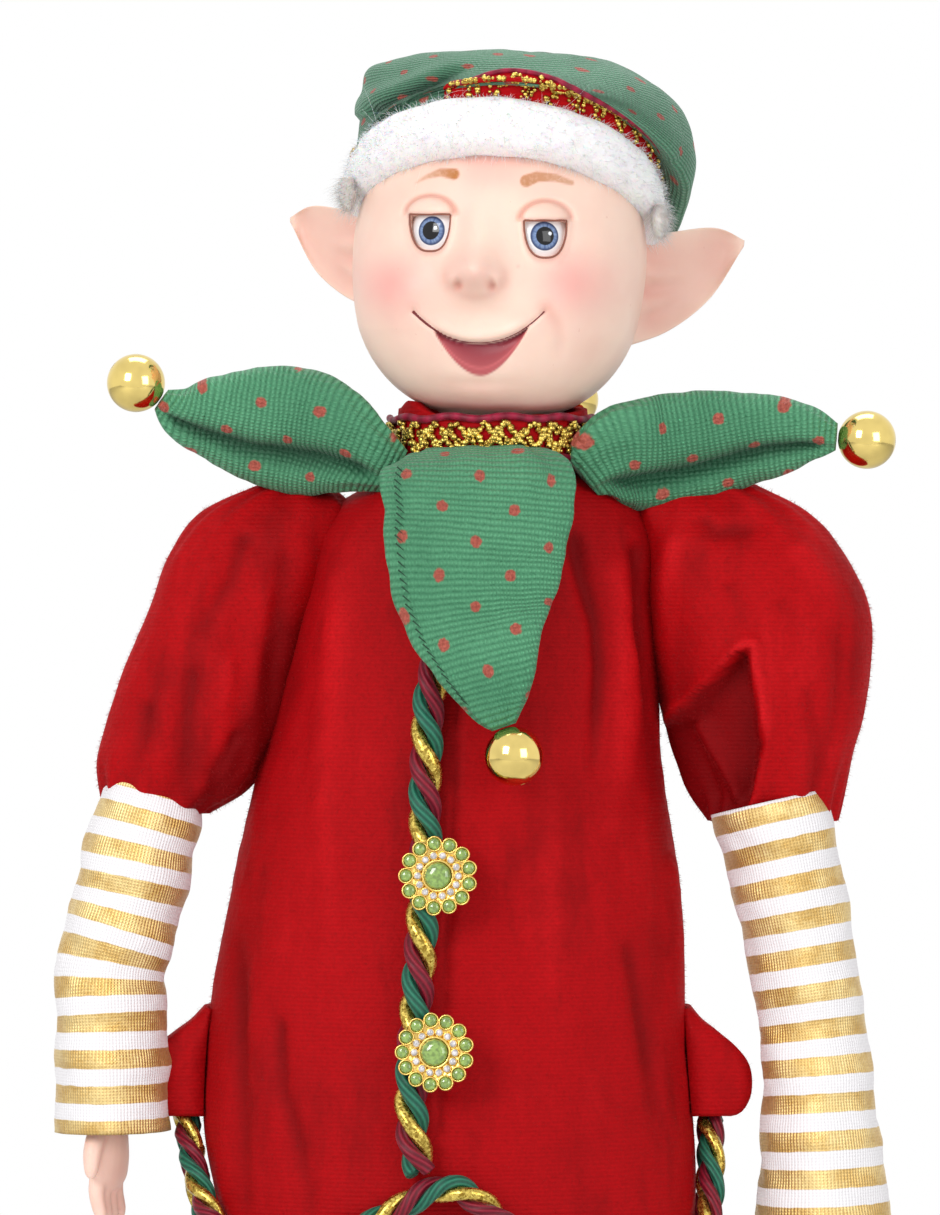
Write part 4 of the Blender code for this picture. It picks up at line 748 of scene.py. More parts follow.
def makeHead():
    across = np.linspace(-np.pi, np.pi, headForm["columns"], endpoint=False)
    across = across - 0.62 * np.sin(across)
    up = np.linspace(-np.pi / 2, np.pi / 2, headForm["rows"])[1:-1]
    up = up - 0.22 * np.sin(2 * up)
    a, e = np.meshgrid(across, up)
    way = np.stack([np.cos(e) * np.sin(a), -np.cos(e) * np.cos(a), np.sin(e)], -1)
    local, front = headShape(way)
    world = headToWorld(local)
    x, z = seenFromFront(world)
    facing = fade(front, 0.0, 0.6)
    push, socket = np.zeros_like(x), np.zeros_like(x)  # forwards, in millimetres

    for eye in eyes.values():
        out = eyeOpening(x, z, eye)
        dome = 1 - ((x - eye["x"]) / (eye["halfWidth"] * 1.12)) ** 2 - ((z - eye["lidZ"]) / eye["lid"]) ** 2
        above = fade(z - eye["lidZ"], -0.4, 0.1)
        push += 2.5 * np.sqrt(np.clip(dome, 0, 1)) * above
        push -= (0.9 * bell(np.sqrt(np.clip(1 - dome, 0, None)) - 1.1, 0.13) * above
                 * (z < eye["lidZ"] + 6.5))
        push += 0.7 * bell(out - 0.5, 0.9) * (1 - above)
        socket -= 3.4 * (1 - fade(out, -0.55, 0.05))
    # nose: a round tip with two dents and soft wings
    push += 2.6 * hill(x, z, nose["x"], nose["tipZ"], 5.4, 4.6)
    for centre in nose["nostrils"]:
        push -= 1.9 * hill(x, z, centre, nose["nostrilZ"], 1.3, 1.5)
        push += 1.3 * hill(x, z, centre + (centre - nose["x"]) * 0.42, 540.2, 2.0, 2.4)
    # mouth: the upper lip overhangs, the inside goes back, and the lower lip rolls out
    line, low = mouthLine(x), lipBelow(x)
    inside = (x > mouth["left"]) & (x < mouth["right"])
    depth = np.clip(line - z, 0, None)
    gape = np.clip(line - low, 0.02, None)
    within = np.clip(depth / gape, 0, 1)
    mouthMask = (fade(line - z, -0.15, 0.35) * (1 - fade(depth - gape, -0.3, 0.5)) * inside
                 * fade(gape, 0.2, 1.4))
    push -= 2.3 * mouthMask * (1 - within) ** 0.8
    push += 0.9 * mouthMask * np.sin(np.pi * np.clip(within * 1.15 - 0.15, 0, 1)) * fade(gape, 2.0, 7.0)
    push += 0.75 * bell(z - line - 1.5, 1.5) * inside * fade(gape, 0.3, 5.0)
    ends = np.linspace(mouth["left"], mouth["right"], 40)
    groove, share = nearLine(x, z, np.stack([ends, mouthLine(ends)], 1))
    push -= 0.9 * bell(groove, 0.55)
    push -= 0.6 * hill(x, z, 2.5, 513.2, 9.0, 1.8)
    # dimples beside the mouth and the folds that run down from them
    for fold, deep in (([(19.6, 532.6), (22.2, 529.5), (23.6, 525.5), (23.4, 521.5)], 1.0),
                       ([(-15.2, 532.4), (-17.4, 529.6), (-18.2, 526.4)], 0.7)):
        away, share = nearLine(x, z, fold)
        push -= deep * bell(away, 1.9) * (1 - 0.6 * share)
    push += 0.9 * hill(x, z, 29.0, 536.0, 9.0, 8.0) + 0.9 * hill(x, z, -22.0, 536.5, 8.0, 8.0)
    local[..., 1] -= push * facing
    bare = headToWorld(local)
    local[..., 1] -= socket * facing
    world = headToWorld(local)

    marks = {}
    marks["blush"] = np.clip(
        0.62 * hill(x, z, -20.8, 539.0, 8.6, 8.2) + 0.6 * hill(x, z, 26.6, 539.2, 9.6, 8.4)
        + 0.34 * hill(x, z, 5.0, 570.5, 11.0, 7.0) + 0.2 * hill(x, z, 1.4, 541.5, 6.0, 5.5)
        + 0.16 * hill(x, z, -1.0, 557.5, 3.0, 6.0) + 0.16 * hill(x, z, 3.0, 511.0, 12.0, 3.0), 0,
                             1) * facing
    # the crease mark: painted shade round the eye openings, in the nostrils, under the nose and in the fold
    # beside the mouth; the arc over each lid is partly a pink painted line and partly painted shade
    creaseShade = np.zeros_like(x)
    for eye in eyes.values():
        rim = np.sqrt(np.clip(((x - eye["x"]) / (eye["halfWidth"] * 1.1)) ** 2
                              + ((z - eye["lidZ"]) / eye["lid"]) ** 2, 0, None))
        creaseShade += 0.62 * bell(rim - 1.1, 0.1) * fade(z, eye["lidZ"] - 0.3, eye["lidZ"] + 1.2)
        creaseShade += 0.3 * bell(eyeOpening(x, z, eye) - 0.35, 0.4)
    for centre in nose["nostrils"]:
        creaseShade += 0.7 * hill(x, z, centre, nose["nostrilZ"] - 0.2, 1.2, 1.4)
    edge = np.hypot((x - nose["x"]) / 7.6, (z - 541.6) / 6.0)
    creaseShade += 0.2 * bell(edge - 1.0, 0.17) * fade(z, 546.0, 540.0)
    away, share = nearLine(x, z, [(20.0, 532.2), (22.4, 529.0), (23.6, 525.0), (23.2, 520.5)])
    creaseShade += 0.3 * bell(away, 1.6) * (1 - 0.7 * share)
    creaseShade += 0.25 * hill(x, z, 12.5, 543.7, 0.5, 0.5)
    marks["crease"] = np.clip(creaseShade, 0, 1) * facing
    # brows: soft brush strokes, the right one thick at its inner end, the left one squared there
    away, share = nearLine(x, z, [(-14.0, 565.4), (-11.5, 566.9), (-7.7, 568.1), (-4.2, 567.7)])
    rightBrow = (fade(away, 1.8 * (0.3 + 0.7 * share), 1.8 * (0.3 + 0.7 * share) - 0.7)
                 * (0.35 + 0.65 * share))
    away, share = nearLine(x, z, [(14.6, 565.9), (17.4, 567.0), (22.0, 566.8), (26.4, 565.4)])
    leftBrow = fade(away, 1.9 * (1 - 0.5 * share), 1.9 * (1 - 0.5 * share) - 0.6) * (0.85 - 0.25 * share)
    marks["brow"] = np.clip(rightBrow + leftBrow, 0, 1) * facing
    marks["lip"] = mouthMask * facing
    lighter = 0.35 * bell(within - 0.78, 0.05)
    marks["lipDeep"] = np.clip(1.0 - 0.9 * within**1.5 - lighter + 0.3 * fade(within, 0.92, 1.0), 0, 1)

    head = surface("head_skin", world, skinPaint, marks=marks)
    wear(head, "skin", "head")
    return world, bare


# an eyeball set in its opening, its pole at the iris; v is the distance from the iris's middle, in eye radii
def makeEye(name, eye, bare):
    opening = onSkin(bare, np.array([[eye["x"], eye["lidZ"] - eye["drop"] * 0.5]]))[0]
    inward = unit(headPlace + np.array([0, 0, 0.004]) - opening)
    centre = opening + inward * (eyeRadius - 0.9) * mm
    middle = np.array([0, cameraStand["plane"] - cameraStand["distance"], cameraStand["height"]])
    scale = (centre[1] - eyeRadius * mm - middle[1]) / cameraStand["distance"]
    spot = (middle + (np.array([eye["iris"][0] * mm, cameraStand["plane"], eye["iris"][1] * mm]) - middle)
            * scale)
    pole = unit(np.array([spot[0] - centre[0], -eyeRadius * mm, spot[2] - centre[2]]))
    side = unit(np.cross(pole, [0, 0, 1]))
    up = np.cross(side, pole)
    tilt = np.linspace(0.0, 1.0, 60)[:, None] ** 1.2 * np.pi * 0.97 + 0.004
    angle = ring(72)[None]
    ball = centre + eyeRadius * mm * (
        pole * np.cos(tilt)[..., None] * np.ones_like(angle)[..., None]
        + side * (np.sin(tilt) * np.cos(angle))[..., None] + up * (np.sin(tilt) * np.sin(angle))[..., None])
    u, v = np.meshgrid(np.linspace(0, 1, 73), np.where(tilt[:, 0] < np.pi / 2, np.sin(tilt[:, 0]), 1.2))
    wear(surface("eyeball_" + name, ball, eyePaint, uv=np.stack([u, v], -1)), "eye", "eye_" + name)


# where seen places lie on the front of a grid skin: the mean of the nearest points,
# the nearer ones weighing more
def onSkin(skin, seen):
    x, z = seenFromFront(skin)
    front = skin[..., 1] < headPlace[1]
    away = (x[front][None] - seen[:, :1]) ** 2 + (z[front][None] - seen[:, 1:2]) ** 2
    nearest = np.argpartition(away, 8, axis=1)[:, :8]
    weight = np.exp(-np.take_along_axis(away, nearest, 1) / 0.12) + 1e-6
    return (skin[front][nearest] * weight[..., None]).sum(1) / weight.sum(1)[:, None]


# a painted line laid on a grid skin: the tube sits half in it
def paintedLine(name, line, radii, skin, finish, lift):
    path = onSkin(skin, line)
    for _ in range(3):
        path[1:-1] = (path[:-2] + 2 * path[1:-1] + path[2:]) / 4
    path[:, 1] -= lift * mm
    path = path[np.concatenate([[True], np.linalg.norm(np.diff(path, axis=0), axis=1) > 1e-5])]
    radii = np.interp(np.linspace(0, 1, len(path)), np.linspace(0, 1, len(radii)), radii)[:, None] * mm
    wear(surface(name, tube(path, radii, 8), finish), "skin")


skin, bareSkin = makeHead()
for name, eye in eyes.items():
    makeEye(name, eye, bareSkin)
    angles = np.linspace(0, np.pi, 60)
    across = np.sign(np.cos(angles)) * np.abs(np.cos(angles)) ** (2 / 2.7)
    rim = np.stack([eye["x"] + eye["halfWidth"] * across,
                    eye["lidZ"] - eye["drop"] * np.sin(angles) ** (2 / 2.2)], 1)
    top = np.stack([np.linspace(rim[-1, 0], rim[0, 0], 24), np.full(24, eye["lidZ"])], 1)
    paintedLine("eye_rim_" + name, rim, [0.22, 0.26, 0.28, 0.26, 0.22], bareSkin, brownLine, 0.1)
    paintedLine("eye_lid_line_" + name, top, [0.24, 0.32, 0.3, 0.24], bareSkin, brownLine, 0.5)
places = np.linspace(mouth["left"], mouth["right"], 70)
mouthPath = np.stack([places, mouthLine(places)], 1)
paintedLine("mouth_line", mouthPath, [0.42, 0.34, 0.2, 0.14, 0.14, 0.16, 0.2], skin, lipLine, 0.0)
print("head and eyes made")

# ears: a leaf that grows sideways and back; s runs to the tip, t runs round the section
ears = {
    "right": {"sign": -1, "upper": ((-24.0, 557.4), (-34.0, 558.8), (-42.0, 559.2), (-46.8, 556.4)),
              "lower": ((-24.5, 532.0), (-33.0, 536.2), (-38.8, 541.0), (-46.8, 555.2)), "sweep": 0.95,
              "root": -2.0},
    "left": {"sign": 1, "upper": ((40.0, 551.0), (52.0, 552.6), (66.0, 553.2), (71.4, 550.4)),
             "lower": ((40.0, 522.6), (51.0, 526.6), (61.5, 534.4), (71.2, 548.8)), "sweep": 0.55,
             "root": 1.0},
}


def makeEar(name, ear):
    s = np.linspace(0, 1, 70)
    upper, lower = (evenRoute([(px, 0, pz) for px, pz in ear[edge]], 70)[:, [0, 2]]
                    for edge in ("upper", "lower"))
    middle, half = (upper + lower) / 2, np.maximum((upper[:, 1] - lower[:, 1]) / 2, 0.3)
    count = 72
    t = ring(count)
    flat = np.cos(t)[None]  # 1 at the upper edge, -1 at the lower
    frontSide = -np.sin(t)[None]
    tip = fade(s, 1.0, 0.72)[:, None]
    thick = (2.1 * tip + 0.9) * np.abs(frontSide) ** 0.75 * np.sign(frontSide)
    hollow = np.where(frontSide > 0, 1.0, 0.0) * np.clip(1 - flat**2, 0, 1) ** 0.8
    cup = 4.6 * hollow * fade(s, 0.0, 0.2)[:, None] * fade(s, 1.0, 0.75)[:, None]
    ridge = (2.8 * bell(flat - 0.15 + 0.9 * (s[:, None] - 0.3), 0.16) * (frontSide > 0)
             * fade(s, 0.55, 0.15)[:, None])
    ridge += 1.8 * bell(flat + 0.35, 0.14) * (frontSide > 0) * fade(s, 0.5, 0.1)[:, None]
    rim = 1.9 * np.abs(flat) ** 6 * fade(s, 1.0, 0.9)[:, None]
    x = middle[:, :1] + (upper[:, :1] - lower[:, :1]) / 2 * flat
    z = middle[:, 1:] + half[:, None] * flat
    away = np.abs(x - middle[0, 0])
    y = ear["root"] + away * ear["sweep"] - thick - rim * np.sign(frontSide) * 0.5 + cup - ridge * 0.9
    places = np.stack([x * mm, y * mm, z * mm], -1)
    scale = (cameraStand["distance"] + places[..., 1] - cameraStand["plane"]) / cameraStand["distance"]
    places[..., 0] *= scale
    places[..., 2] = (places[..., 2] - cameraStand["height"]) * scale + cameraStand["height"]
    # the hollow of the ear: painted shade by the crease mark and a pinker tint by the blush mark, less on
    # the ridge
    inner = (np.clip(cup / 4.0, 0, 1) * 0.3 + 0.4 * np.clip(1 - ridge, 0, 1) * np.clip(cup / 4, 0, 1)
             * fade(s, 0.5, 0.0)[:, None])
    zero = np.zeros_like(inner)
    marks = {"blush": inner * 0.6, "crease": inner * 0.5, "brow": zero, "lip": zero, "lipDeep": zero}
    wear(surface("ear_" + name, places, skinPaint, marks=marks), "skin")


for name, ear in ears.items():
    makeEar(name, ear)
print("ears made")

# hat

hat = {
    # across, depth, height, half width, half depth, rise of the front, rise of the right
    "stations": ((10, 0, 272, 38.5, 39.5, 17, 3), (13, 3, 265, 43.5, 45, 25, 3.5),
                 (15, 4, 275, 44, 46, 15, 3),
                 (14, 4, 287, 41.5, 42, 6, 1.5), (10, 4, 295.5, 34, 35, 2.5, 0.5),
                 (9, 5, 299, 22, 23, 0.8, 0),
                 (9, 5, 300, 6, 7, 0, 0)),
    # across, depth, height, half width, half depth
    "tail": ((20, 24, 279, 18, 13), (27, 39, 275, 18, 12), (31, 48, 262, 16, 9), (30, 51, 244, 11.5, 7),
             (28, 52, 229, 6.5, 5), (27, 52, 219, 2.8, 2.6)),
    "brimCentre": (9.3, -1.0), "brimHalfWidth": 36.4, "brimHalfDepth": 38.2, "brimHalfHeight": 6.6,
       "brimHalfThick": 5.6, "brimDrop": 3.6,
    # how far the velvet band runs up the cloth, by degrees round from the front, in millimetres
    "bandReach": ((-180, 3.5), (-100, 3.0), (-60, 0.4), (-31, 0.6), (-23, 2.6), (-13, 7.4), (-6, 9.4),
                  (1, 9.7), (8, 8.3),
                  (14, 6.3), (25, 3.8), (34, 3.0), (64, 3.0), (100, 3.0), (180, 3.5)),
}


def hatPoint(angle, level):
    table = [(k, *row) for k, row in enumerate(hat["stations"])]
    row = smoothTable(table, level)
    out = np.stack([np.sin(angle), -np.cos(angle), np.zeros_like(angle)], -1)
    x = row[..., 0] + row[..., 3] * out[..., 0]
    y = row[..., 1] + row[..., 4] * out[..., 1]
    z = row[..., 2] + row[..., 5] * np.cos(angle) - row[..., 6] * np.sin(angle)
    return overHips(np.stack([x, y, z], -1))


# the crown's cloth with its folds; below level 0 it turns in under the fur
def crownCloth(angle, level, standOff=0.0):
    places = hatPoint(angle, np.maximum(level, 0))
    places[..., 2] += np.minimum(level, 0) * 12 * mm
    x, z = seenFromFront(places)
    front = (places[..., 1] < 0) * 1.0
    out = unit(places - overHips((11, 4, 278)))
    lift = 0.9 * softNoise(places, 0.03, 21) * fade(level, 0.2, 1.0)
    # the fold on the right: the cloth over the line stands out, and the line itself is a valley
    away, share = nearLine(x, z, [(-25.0, 584.0), (-17.0, 588.5), (-6.0, 593.0), (4.6, 598.6)])
    side = np.sign((z - 584.0) - (x + 25.0) * 0.49)
    valley = bell(away, 1.1) * front * fade(share, 0.85, 0.5)
    lift += 1.9 * bell(away - 2.2, 2.0) * front * (side > 0) * fade(share, 0.95, 0.6) - 1.5 * valley
    lift += (0.8 * np.sin(angle * 9 + 1.0) * fade(level, 3.4, 1.2) * fade(level, 0.1, 0.8)
             * (np.cos(angle) < 0.4))
    lift += 1.6 * hill(x, z, -27.5, 594.0, 5.0, 5.0) * (places[..., 1] < 10 * mm)
    # the fold mark paints shade in the valley and on the cloth below the line, under the part that stands
    # out
    fold = -0.9 * valley - 0.35 * fade(-side * away, 0.0, 2.0) * (x < -4) * front
    places = places + out * ((lift + standOff) * mm)[..., None]
    places[..., 2] = np.minimum(places[..., 2], cadBox[1][2] + 1.0 * mm)
    return places, fold


def makeHatCrown():
    angle, level = np.meshgrid(ring(180), np.append(np.linspace(-0.4, 0, 5)[:-1], np.linspace(0, 6, 84)))
    places, fold = crownCloth(angle, level)
    crown = thicken(surface("hat_cloth", places, hatGreen, caps=False, marks={"fold": fold}), 0.8 * mm)
    top = places[-1]
    middle = top.mean(0)
    cap = surface("hat_crown_patch",
                  np.stack([top, (top + middle) / 2 + [0, 0, 0.0002],
                            top * 0.1 + middle * 0.9 + [0, 0, 0.0003]]),
                  hatGreen)
    wear(cap, "green_cloth")
    wear(crown, "green_cloth", "hat_crown")


def makeHatTail():
    table = np.array(hat["tail"], float)
    route = evenRoute(np.column_stack([overHips(table), table[:, 3:] * mm]), 70)
    t = ring(60)
    wide, deep = route[:, 3:4], route[:, 4:5]
    fold = 1 + 0.07 * np.sin(5 * t + 1.0) * fade(np.linspace(0, 1, 70), 0.0, 0.4)[:, None]
    grid = carried(route[:, :3], wide * np.cos(t) * fold, deep * np.sin(t) * fold)
    wear(surface("hat_tail", grid, hatGreen), "green_cloth")


bandCut = {"columns": 260, "tucked": 7, "rows": 16}  # the tucked rows go in under the fur


# the band's velvet: it follows the crown's cloth and reaches as far up it as the table says
def makeHatBand():
    columns = bandCut["columns"]
    angle = ring(columns)
    degrees = (np.degrees(angle) + 180) % 360 - 180
    reach = smoothTable(hat["bandReach"], degrees)[:, 0]
    levels = np.linspace(0, 5, 140)
    climb = np.linalg.norm(np.diff(hatPoint(*np.meshgrid(angle, levels)), axis=0), axis=2)
    climb = np.vstack([np.zeros(columns), np.cumsum(climb, 0)]) / mm
    share = np.linspace(0, 1, bandCut["rows"])
    level = np.stack([np.interp(share * reach[k], climb[:, k], levels) for k in range(columns)], 1)
    level = np.vstack([np.repeat(np.linspace(-0.4, -0.05, bandCut["tucked"])[:, None], columns, 1), level])
    around = np.broadcast_to(angle, level.shape)
    shown = fade(reach, 1.0, 2.6)  # where the band runs out it sinks into the crown
    swell = (np.append(np.full(bandCut["tucked"], 1.6), 1.6 + 0.4 * np.sin(share * np.pi))[:, None]
             * (2 * shown - 1))
    grid, _ = crownCloth(around, level, swell)
    band = thicken(surface("hat_band_velvet", grid, sleeveVelvet, caps=False), 0.6 * mm)
    wear(band, "red_velvet", "hat_band")
    cord = (0.1 + 0.65 * shown)[:, None] * mm
    edge = grid[-1] + unit(grid[-1] - headPlace) * 0.3 * mm
    cord = tube(edge, cord, 10, hint=edge - edge.mean(0), closed=True)
    wear(surface("hat_band_edge", cord, magentaCord, aroundRows=True), "burgundy_cord")
    return grid, reach


# small twenty-sided gold beads at these places
def goldBeads(name, centres, radii):
    gold = (1 + 5**0.5) / 2
    solid = unit(np.array([(-1, gold, 0), (1, gold, 0), (-1, -gold, 0), (1, -gold, 0), (0, -1, gold),
                           (0, 1, gold),
                           (0, -1, -gold), (0, 1, -gold), (gold, 0, -1), (gold, 0, 1), (-gold, 0, -1),
                           (-gold, 0, 1)], float))
    faces = np.array([(0, 11, 5), (0, 5, 1), (0, 1, 7), (0, 7, 10), (0, 10, 11), (1, 5, 9), (5, 11, 4),
                      (11, 10, 2),
                      (10, 7, 6), (7, 1, 8), (3, 9, 4), (3, 4, 2), (3, 2, 6), (3, 6, 8), (3, 8, 9),
                      (4, 9, 5), (2, 4, 11),
                      (6, 2, 10), (8, 6, 7), (9, 8, 1)])
    points = centres[:, None] + solid[None] * radii[:, None, None]
    every = (np.arange(len(centres))[:, None, None] * 12 + faces[None]).reshape(-1, 3)
    return wear(makeMesh(name, points.reshape(-1, 3), [every], goldNet, smooth=False), "gold_trim")


# beads strung along two crossing zigzags and a thinner wavy one,
# on a skin given by share of the turn and of its height
def glitterLoops(name, spot, count, seed, beadRadius=0.00055, perLoop=26):
    draw = np.random.default_rng(seed)
    share = np.linspace(0, 1, count * perLoop, endpoint=False)
    phase = share * count * turn
    zigzag = 2 / np.pi * np.arcsin(np.sin(phase))
    lines = [np.stack([share, 0.5 + 0.42 * zigzag], 1),
             np.stack([share + 0.06 / count, 0.5 - 0.42 * zigzag], 1),
             np.stack([share, 0.5 + 0.2 * np.sin(2 * phase + 0.5)], 1)]
    flat = np.vstack(lines) + draw.normal(size=(len(share) * 3, 2)) * [0.035 / count, 0.03]
    centres = spot(flat[:, 0] % 1, np.clip(flat[:, 1], 0.03, 0.97))
    return goldBeads(name, centres, beadRadius * draw.uniform(0.55, 1.35, len(centres)))


def makeBrim():
    columns, rows, count = 200, 44, 90
    angle, around = np.meshgrid(ring(columns), ring(rows))
    out = np.stack([np.sin(angle), -np.cos(angle), np.zeros_like(angle)], -1)
    fullness = 1 + 0.05 * softNoise(out * 0.05, 0.03, 9)
    reachOut, reachUp = (np.sign(wave) * np.abs(wave) ** 0.85 * fullness
                         for wave in (np.cos(around), np.sin(around)))
    reachOut = hat["brimHalfThick"] * reachOut
    reachUp = hat["brimHalfHeight"] * (reachUp - 1) - hat["brimDrop"]
    x = hat["brimHalfWidth"] * out[..., 0] + out[..., 0] * reachOut
    y = hat["brimHalfDepth"] * out[..., 1] + out[..., 1] * reachOut
    base = hat["stations"][0]
    x, y = x + hat["brimCentre"][0], y + hat["brimCentre"][1]
    z = base[2] + reachUp + base[5] * (base[1] - y) / base[4] + base[6] * (base[0] - x) / base[3]
    places = overHips(np.stack([x, y, z], -1))
    places += out * (0.25 * softNoise(places, 0.006, 4) * mm)[..., None]
    wear(surface("fur_brim_pile", places, whiteFur, aroundRows=True), "white_fur", "fur_brim")
    roots, ways = scatter(places, 12500, 12, aroundRows=True)
    centre = headPlace + np.array([0, 0, 0.02])
    outward = unit((roots - centre) * [1, 1, 0.2])
    ways = unit(ways * 0.75 + outward * 0.55 + np.random.default_rng(3).normal(size=ways.shape) * 0.45)
    lengths = np.random.default_rng(4).uniform(1.0, 2.6, len(roots)) * mm
    fur = hairs("fur_brim_hairs", roots, ways, lengths, 0.07 * mm, np.array([0, 0, -0.25]), whiteFur, 2,
                0.3)
    wear(fur, "white_fur")
    # long stray hairs over the forehead and up over the hat
    draw = np.random.default_rng(8)
    stray = places[draw.integers(0, rows, count), draw.choice(np.r_[0:34, 166:columns], count)]
    ways = [draw.normal(0, 0.7, count), np.full(count, -0.55),
            draw.choice([-1, 1], count) * draw.uniform(0.3, 1.0, count)]
    ways = unit(np.stack(ways, 1))
    lengths = draw.uniform(4, 11, count) * mm
    wisps = hairs("fur_brim_wisps", stray, ways, lengths, 0.045 * mm, np.array([0.1, 0.25, -0.05]),
                  whiteFur, 5, 0.35)
    wear(wisps, "white_fur")


makeHatCrown()
makeHatTail()
bandGrid, bandReach = makeHatBand()


def onBand(share, height):  # a place just over the band, by share of the turn and share of its height
    column = share * bandCut["columns"]
    low = np.floor(column).astype(int) % bandCut["columns"]
    part = (column % 1)[:, None]
    rows = bandCut["tucked"] + bandCut["rows"]
    row = np.clip(height * rows, 0, rows - 1).astype(int)
    spot = bandGrid[row, low] * (1 - part) + bandGrid[row, (low + 1) % bandCut["columns"]] * part
    sunk = np.where(bandReach[low] < 2.2, -1.2, 0.35)[:, None]  # no beads show where the band runs out
    return spot + unit((spot - headPlace) * [1, 1, 0.4]) * sunk * mm


glitterLoops("hat_band_net", onBand, 18, 14, 0.00068, 32)
makeBrim()
print("hat made")

tufts = {"right": (-0.75, -0.1, -0.45), "left": (0.7, -0.05, -0.6)}  # the way each wisp points
for name, way in tufts.items():
    low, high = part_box("hair_tuft_" + name)
    spot = np.array((low + high) / 2)
    t, s = np.meshgrid(ring(24), np.linspace(0, 1, 16))
    width = 2.2 * mm * np.sqrt(np.clip(1 - (2 * s - 0.9) ** 2 * 0.8, 0.05, 1))
    path = np.linspace(high[2] - 0.001, high[2] - 0.010, 16)
    grid = np.stack([spot[0] + width * np.cos(t), spot[1] + width * np.sin(t) * 0.8, path[:, None] + 0 * t],
                    -1)
    wear(surface("hair_tuft_core_" + name, grid, greyHair), "white_fur", "hair_tuft_" + name)
    roots, ways = scatter(grid, 600, 40)
    ways = unit(ways + np.array(way) * 0.9)
    lengths = np.random.default_rng(6).uniform(1.2, 3.6, len(roots)) * mm
    wear(hairs("hair_tuft_wisp_" + name, roots, ways, lengths, 0.045 * mm, np.array([0, 0, -0.3]), greyHair,
               3, 0.3), "white_fur")

# collar

collar = {"centre": (6.0, -1.0), "halfWidth": 25.0, "halfDepth": 23.5, "front": 14.6, "back": 19.0,
          "foot": 190.3,
          "ribbon": (2.6, 12.0), "net": (3.8, 9.8), "cords": {"lower": 3.4, "upper": 14.0}}


def collarPoint(share, height, standOff):
    angle = share * turn
    out = np.stack([np.sin(angle), -np.cos(angle), np.zeros_like(angle)], -1)
    x = collar["centre"][0] + (collar["halfWidth"] + standOff) * out[..., 0]
    y = collar["centre"][1] + (collar["halfDepth"] + standOff) * out[..., 1]
    return overHips(np.stack([x, y, collar["foot"] + height + 0 * x], -1))


share, rise = np.meshgrid(np.arange(120) / 120, np.linspace(0, 1, 20))
backward = (1 - np.cos(share * turn)) / 2
tall = collar["front"] + (collar["back"] - collar["front"]) * backward
tall = tall + 3.0 * bell(share - 0.83, 0.035)
grid = collarPoint(share, tall * rise, 0.5 * np.sin(rise * 3.0) - 0.3)
stand = wear(thicken(surface("collar_velvet", grid, tunicVelvet, caps=False), 3.0 * mm), "red_velvet",
             "neck_collar")
low, high = collar["ribbon"]
grid = collarPoint(share, low + high * rise,
                   1.1 + 0.5 * np.sin(rise * np.pi) + 0.3 * softNoise(grid, 0.006, 50))
ribbon = wear(thicken(surface("collar_ribbon", grid, tunicVelvet, caps=False), 0.9 * mm), "gold_trim",
              "neck_trim")
for name, height in collar["cords"].items():
    path = collarPoint(ring(160) / turn, height + 0.4 * np.sin(ring(160) * 11), 2.0)
    grid = tube(path, 1.0 * mm, 10, hint=path - path.mean(0), closed=True)
    wear(surface("collar_cord_" + name, grid, magentaCord, aroundRows=True), "burgundy_cord")
low, high = collar["net"]
glitterLoops("collar_net", lambda u, v: collarPoint(u, low + v * high, 2.3 + 0 * u), 13, 15, 0.00082, 38)
print("collar made")

# petals and beads

petals = {
    # across, depth, height, half breadth, half thickness
    "right": {"stations": ((-19, -17, 190.5, 6, 4.5), (-26, -17, 194.2, 10, 6),
                           (-33.8, -15, 198, 14.8, 7.5),
                           (-44.2, -12, 201, 17.4, 8.5), (-54.6, -11, 202.5, 16.2, 8),
                           (-66.3, -11, 204.3, 12, 6.5),
                           (-76.7, -12, 206.6, 6.6, 4.6), (-80.6, -12.5, 209.2, 3, 2.4)), "lean": -24,
              "crease": -0.34},
    "left": {"stations": ((29.5, -17, 188.5, 6, 4.5), (33, -16.5, 191.4, 10.5, 6.3),
                          (39, -15, 194, 13.8, 7.5),
                          (49.4, -12, 195.5, 15.6, 8.5), (60, -11, 197, 15.2, 8.2),
                          (75.4, -11, 199.4, 12, 6.5),
                          (88.4, -12, 200, 8.2, 5), (95.7, -12.5, 199.4, 3.4, 2.6)), "lean": 24,
             "crease": 0.34},
    "front": {"stations": ((2.5, -26, 195, 17, 3), (2.6, -34, 190, 24, 4), (2, -40, 178, 24, 4.6),
                           (1.2, -43, 166, 22.6, 5),
                           (1.6, -45, 153, 19.2, 5), (3.6, -49, 143, 14.8, 4.4), (6, -50.5, 134, 10.4, 4),
                           (7.6, -51, 127.6, 6, 3.4), (8.7, -51.2, 124.4, 3, 2.4)), "lean": 0,
              "crease": None},
    "back": {"stations": ((4, 30, 191, 17, 4), (4, 33.5, 184, 22, 4.6), (3, 38, 170, 23, 5),
                          (2, 42, 156, 20.5, 5),
                          (1, 44, 142, 15.5, 4.6), (0, 45.5, 131, 9, 4), (0, 46, 123, 3, 2.4)), "lean": 0,
             "crease": None},
}


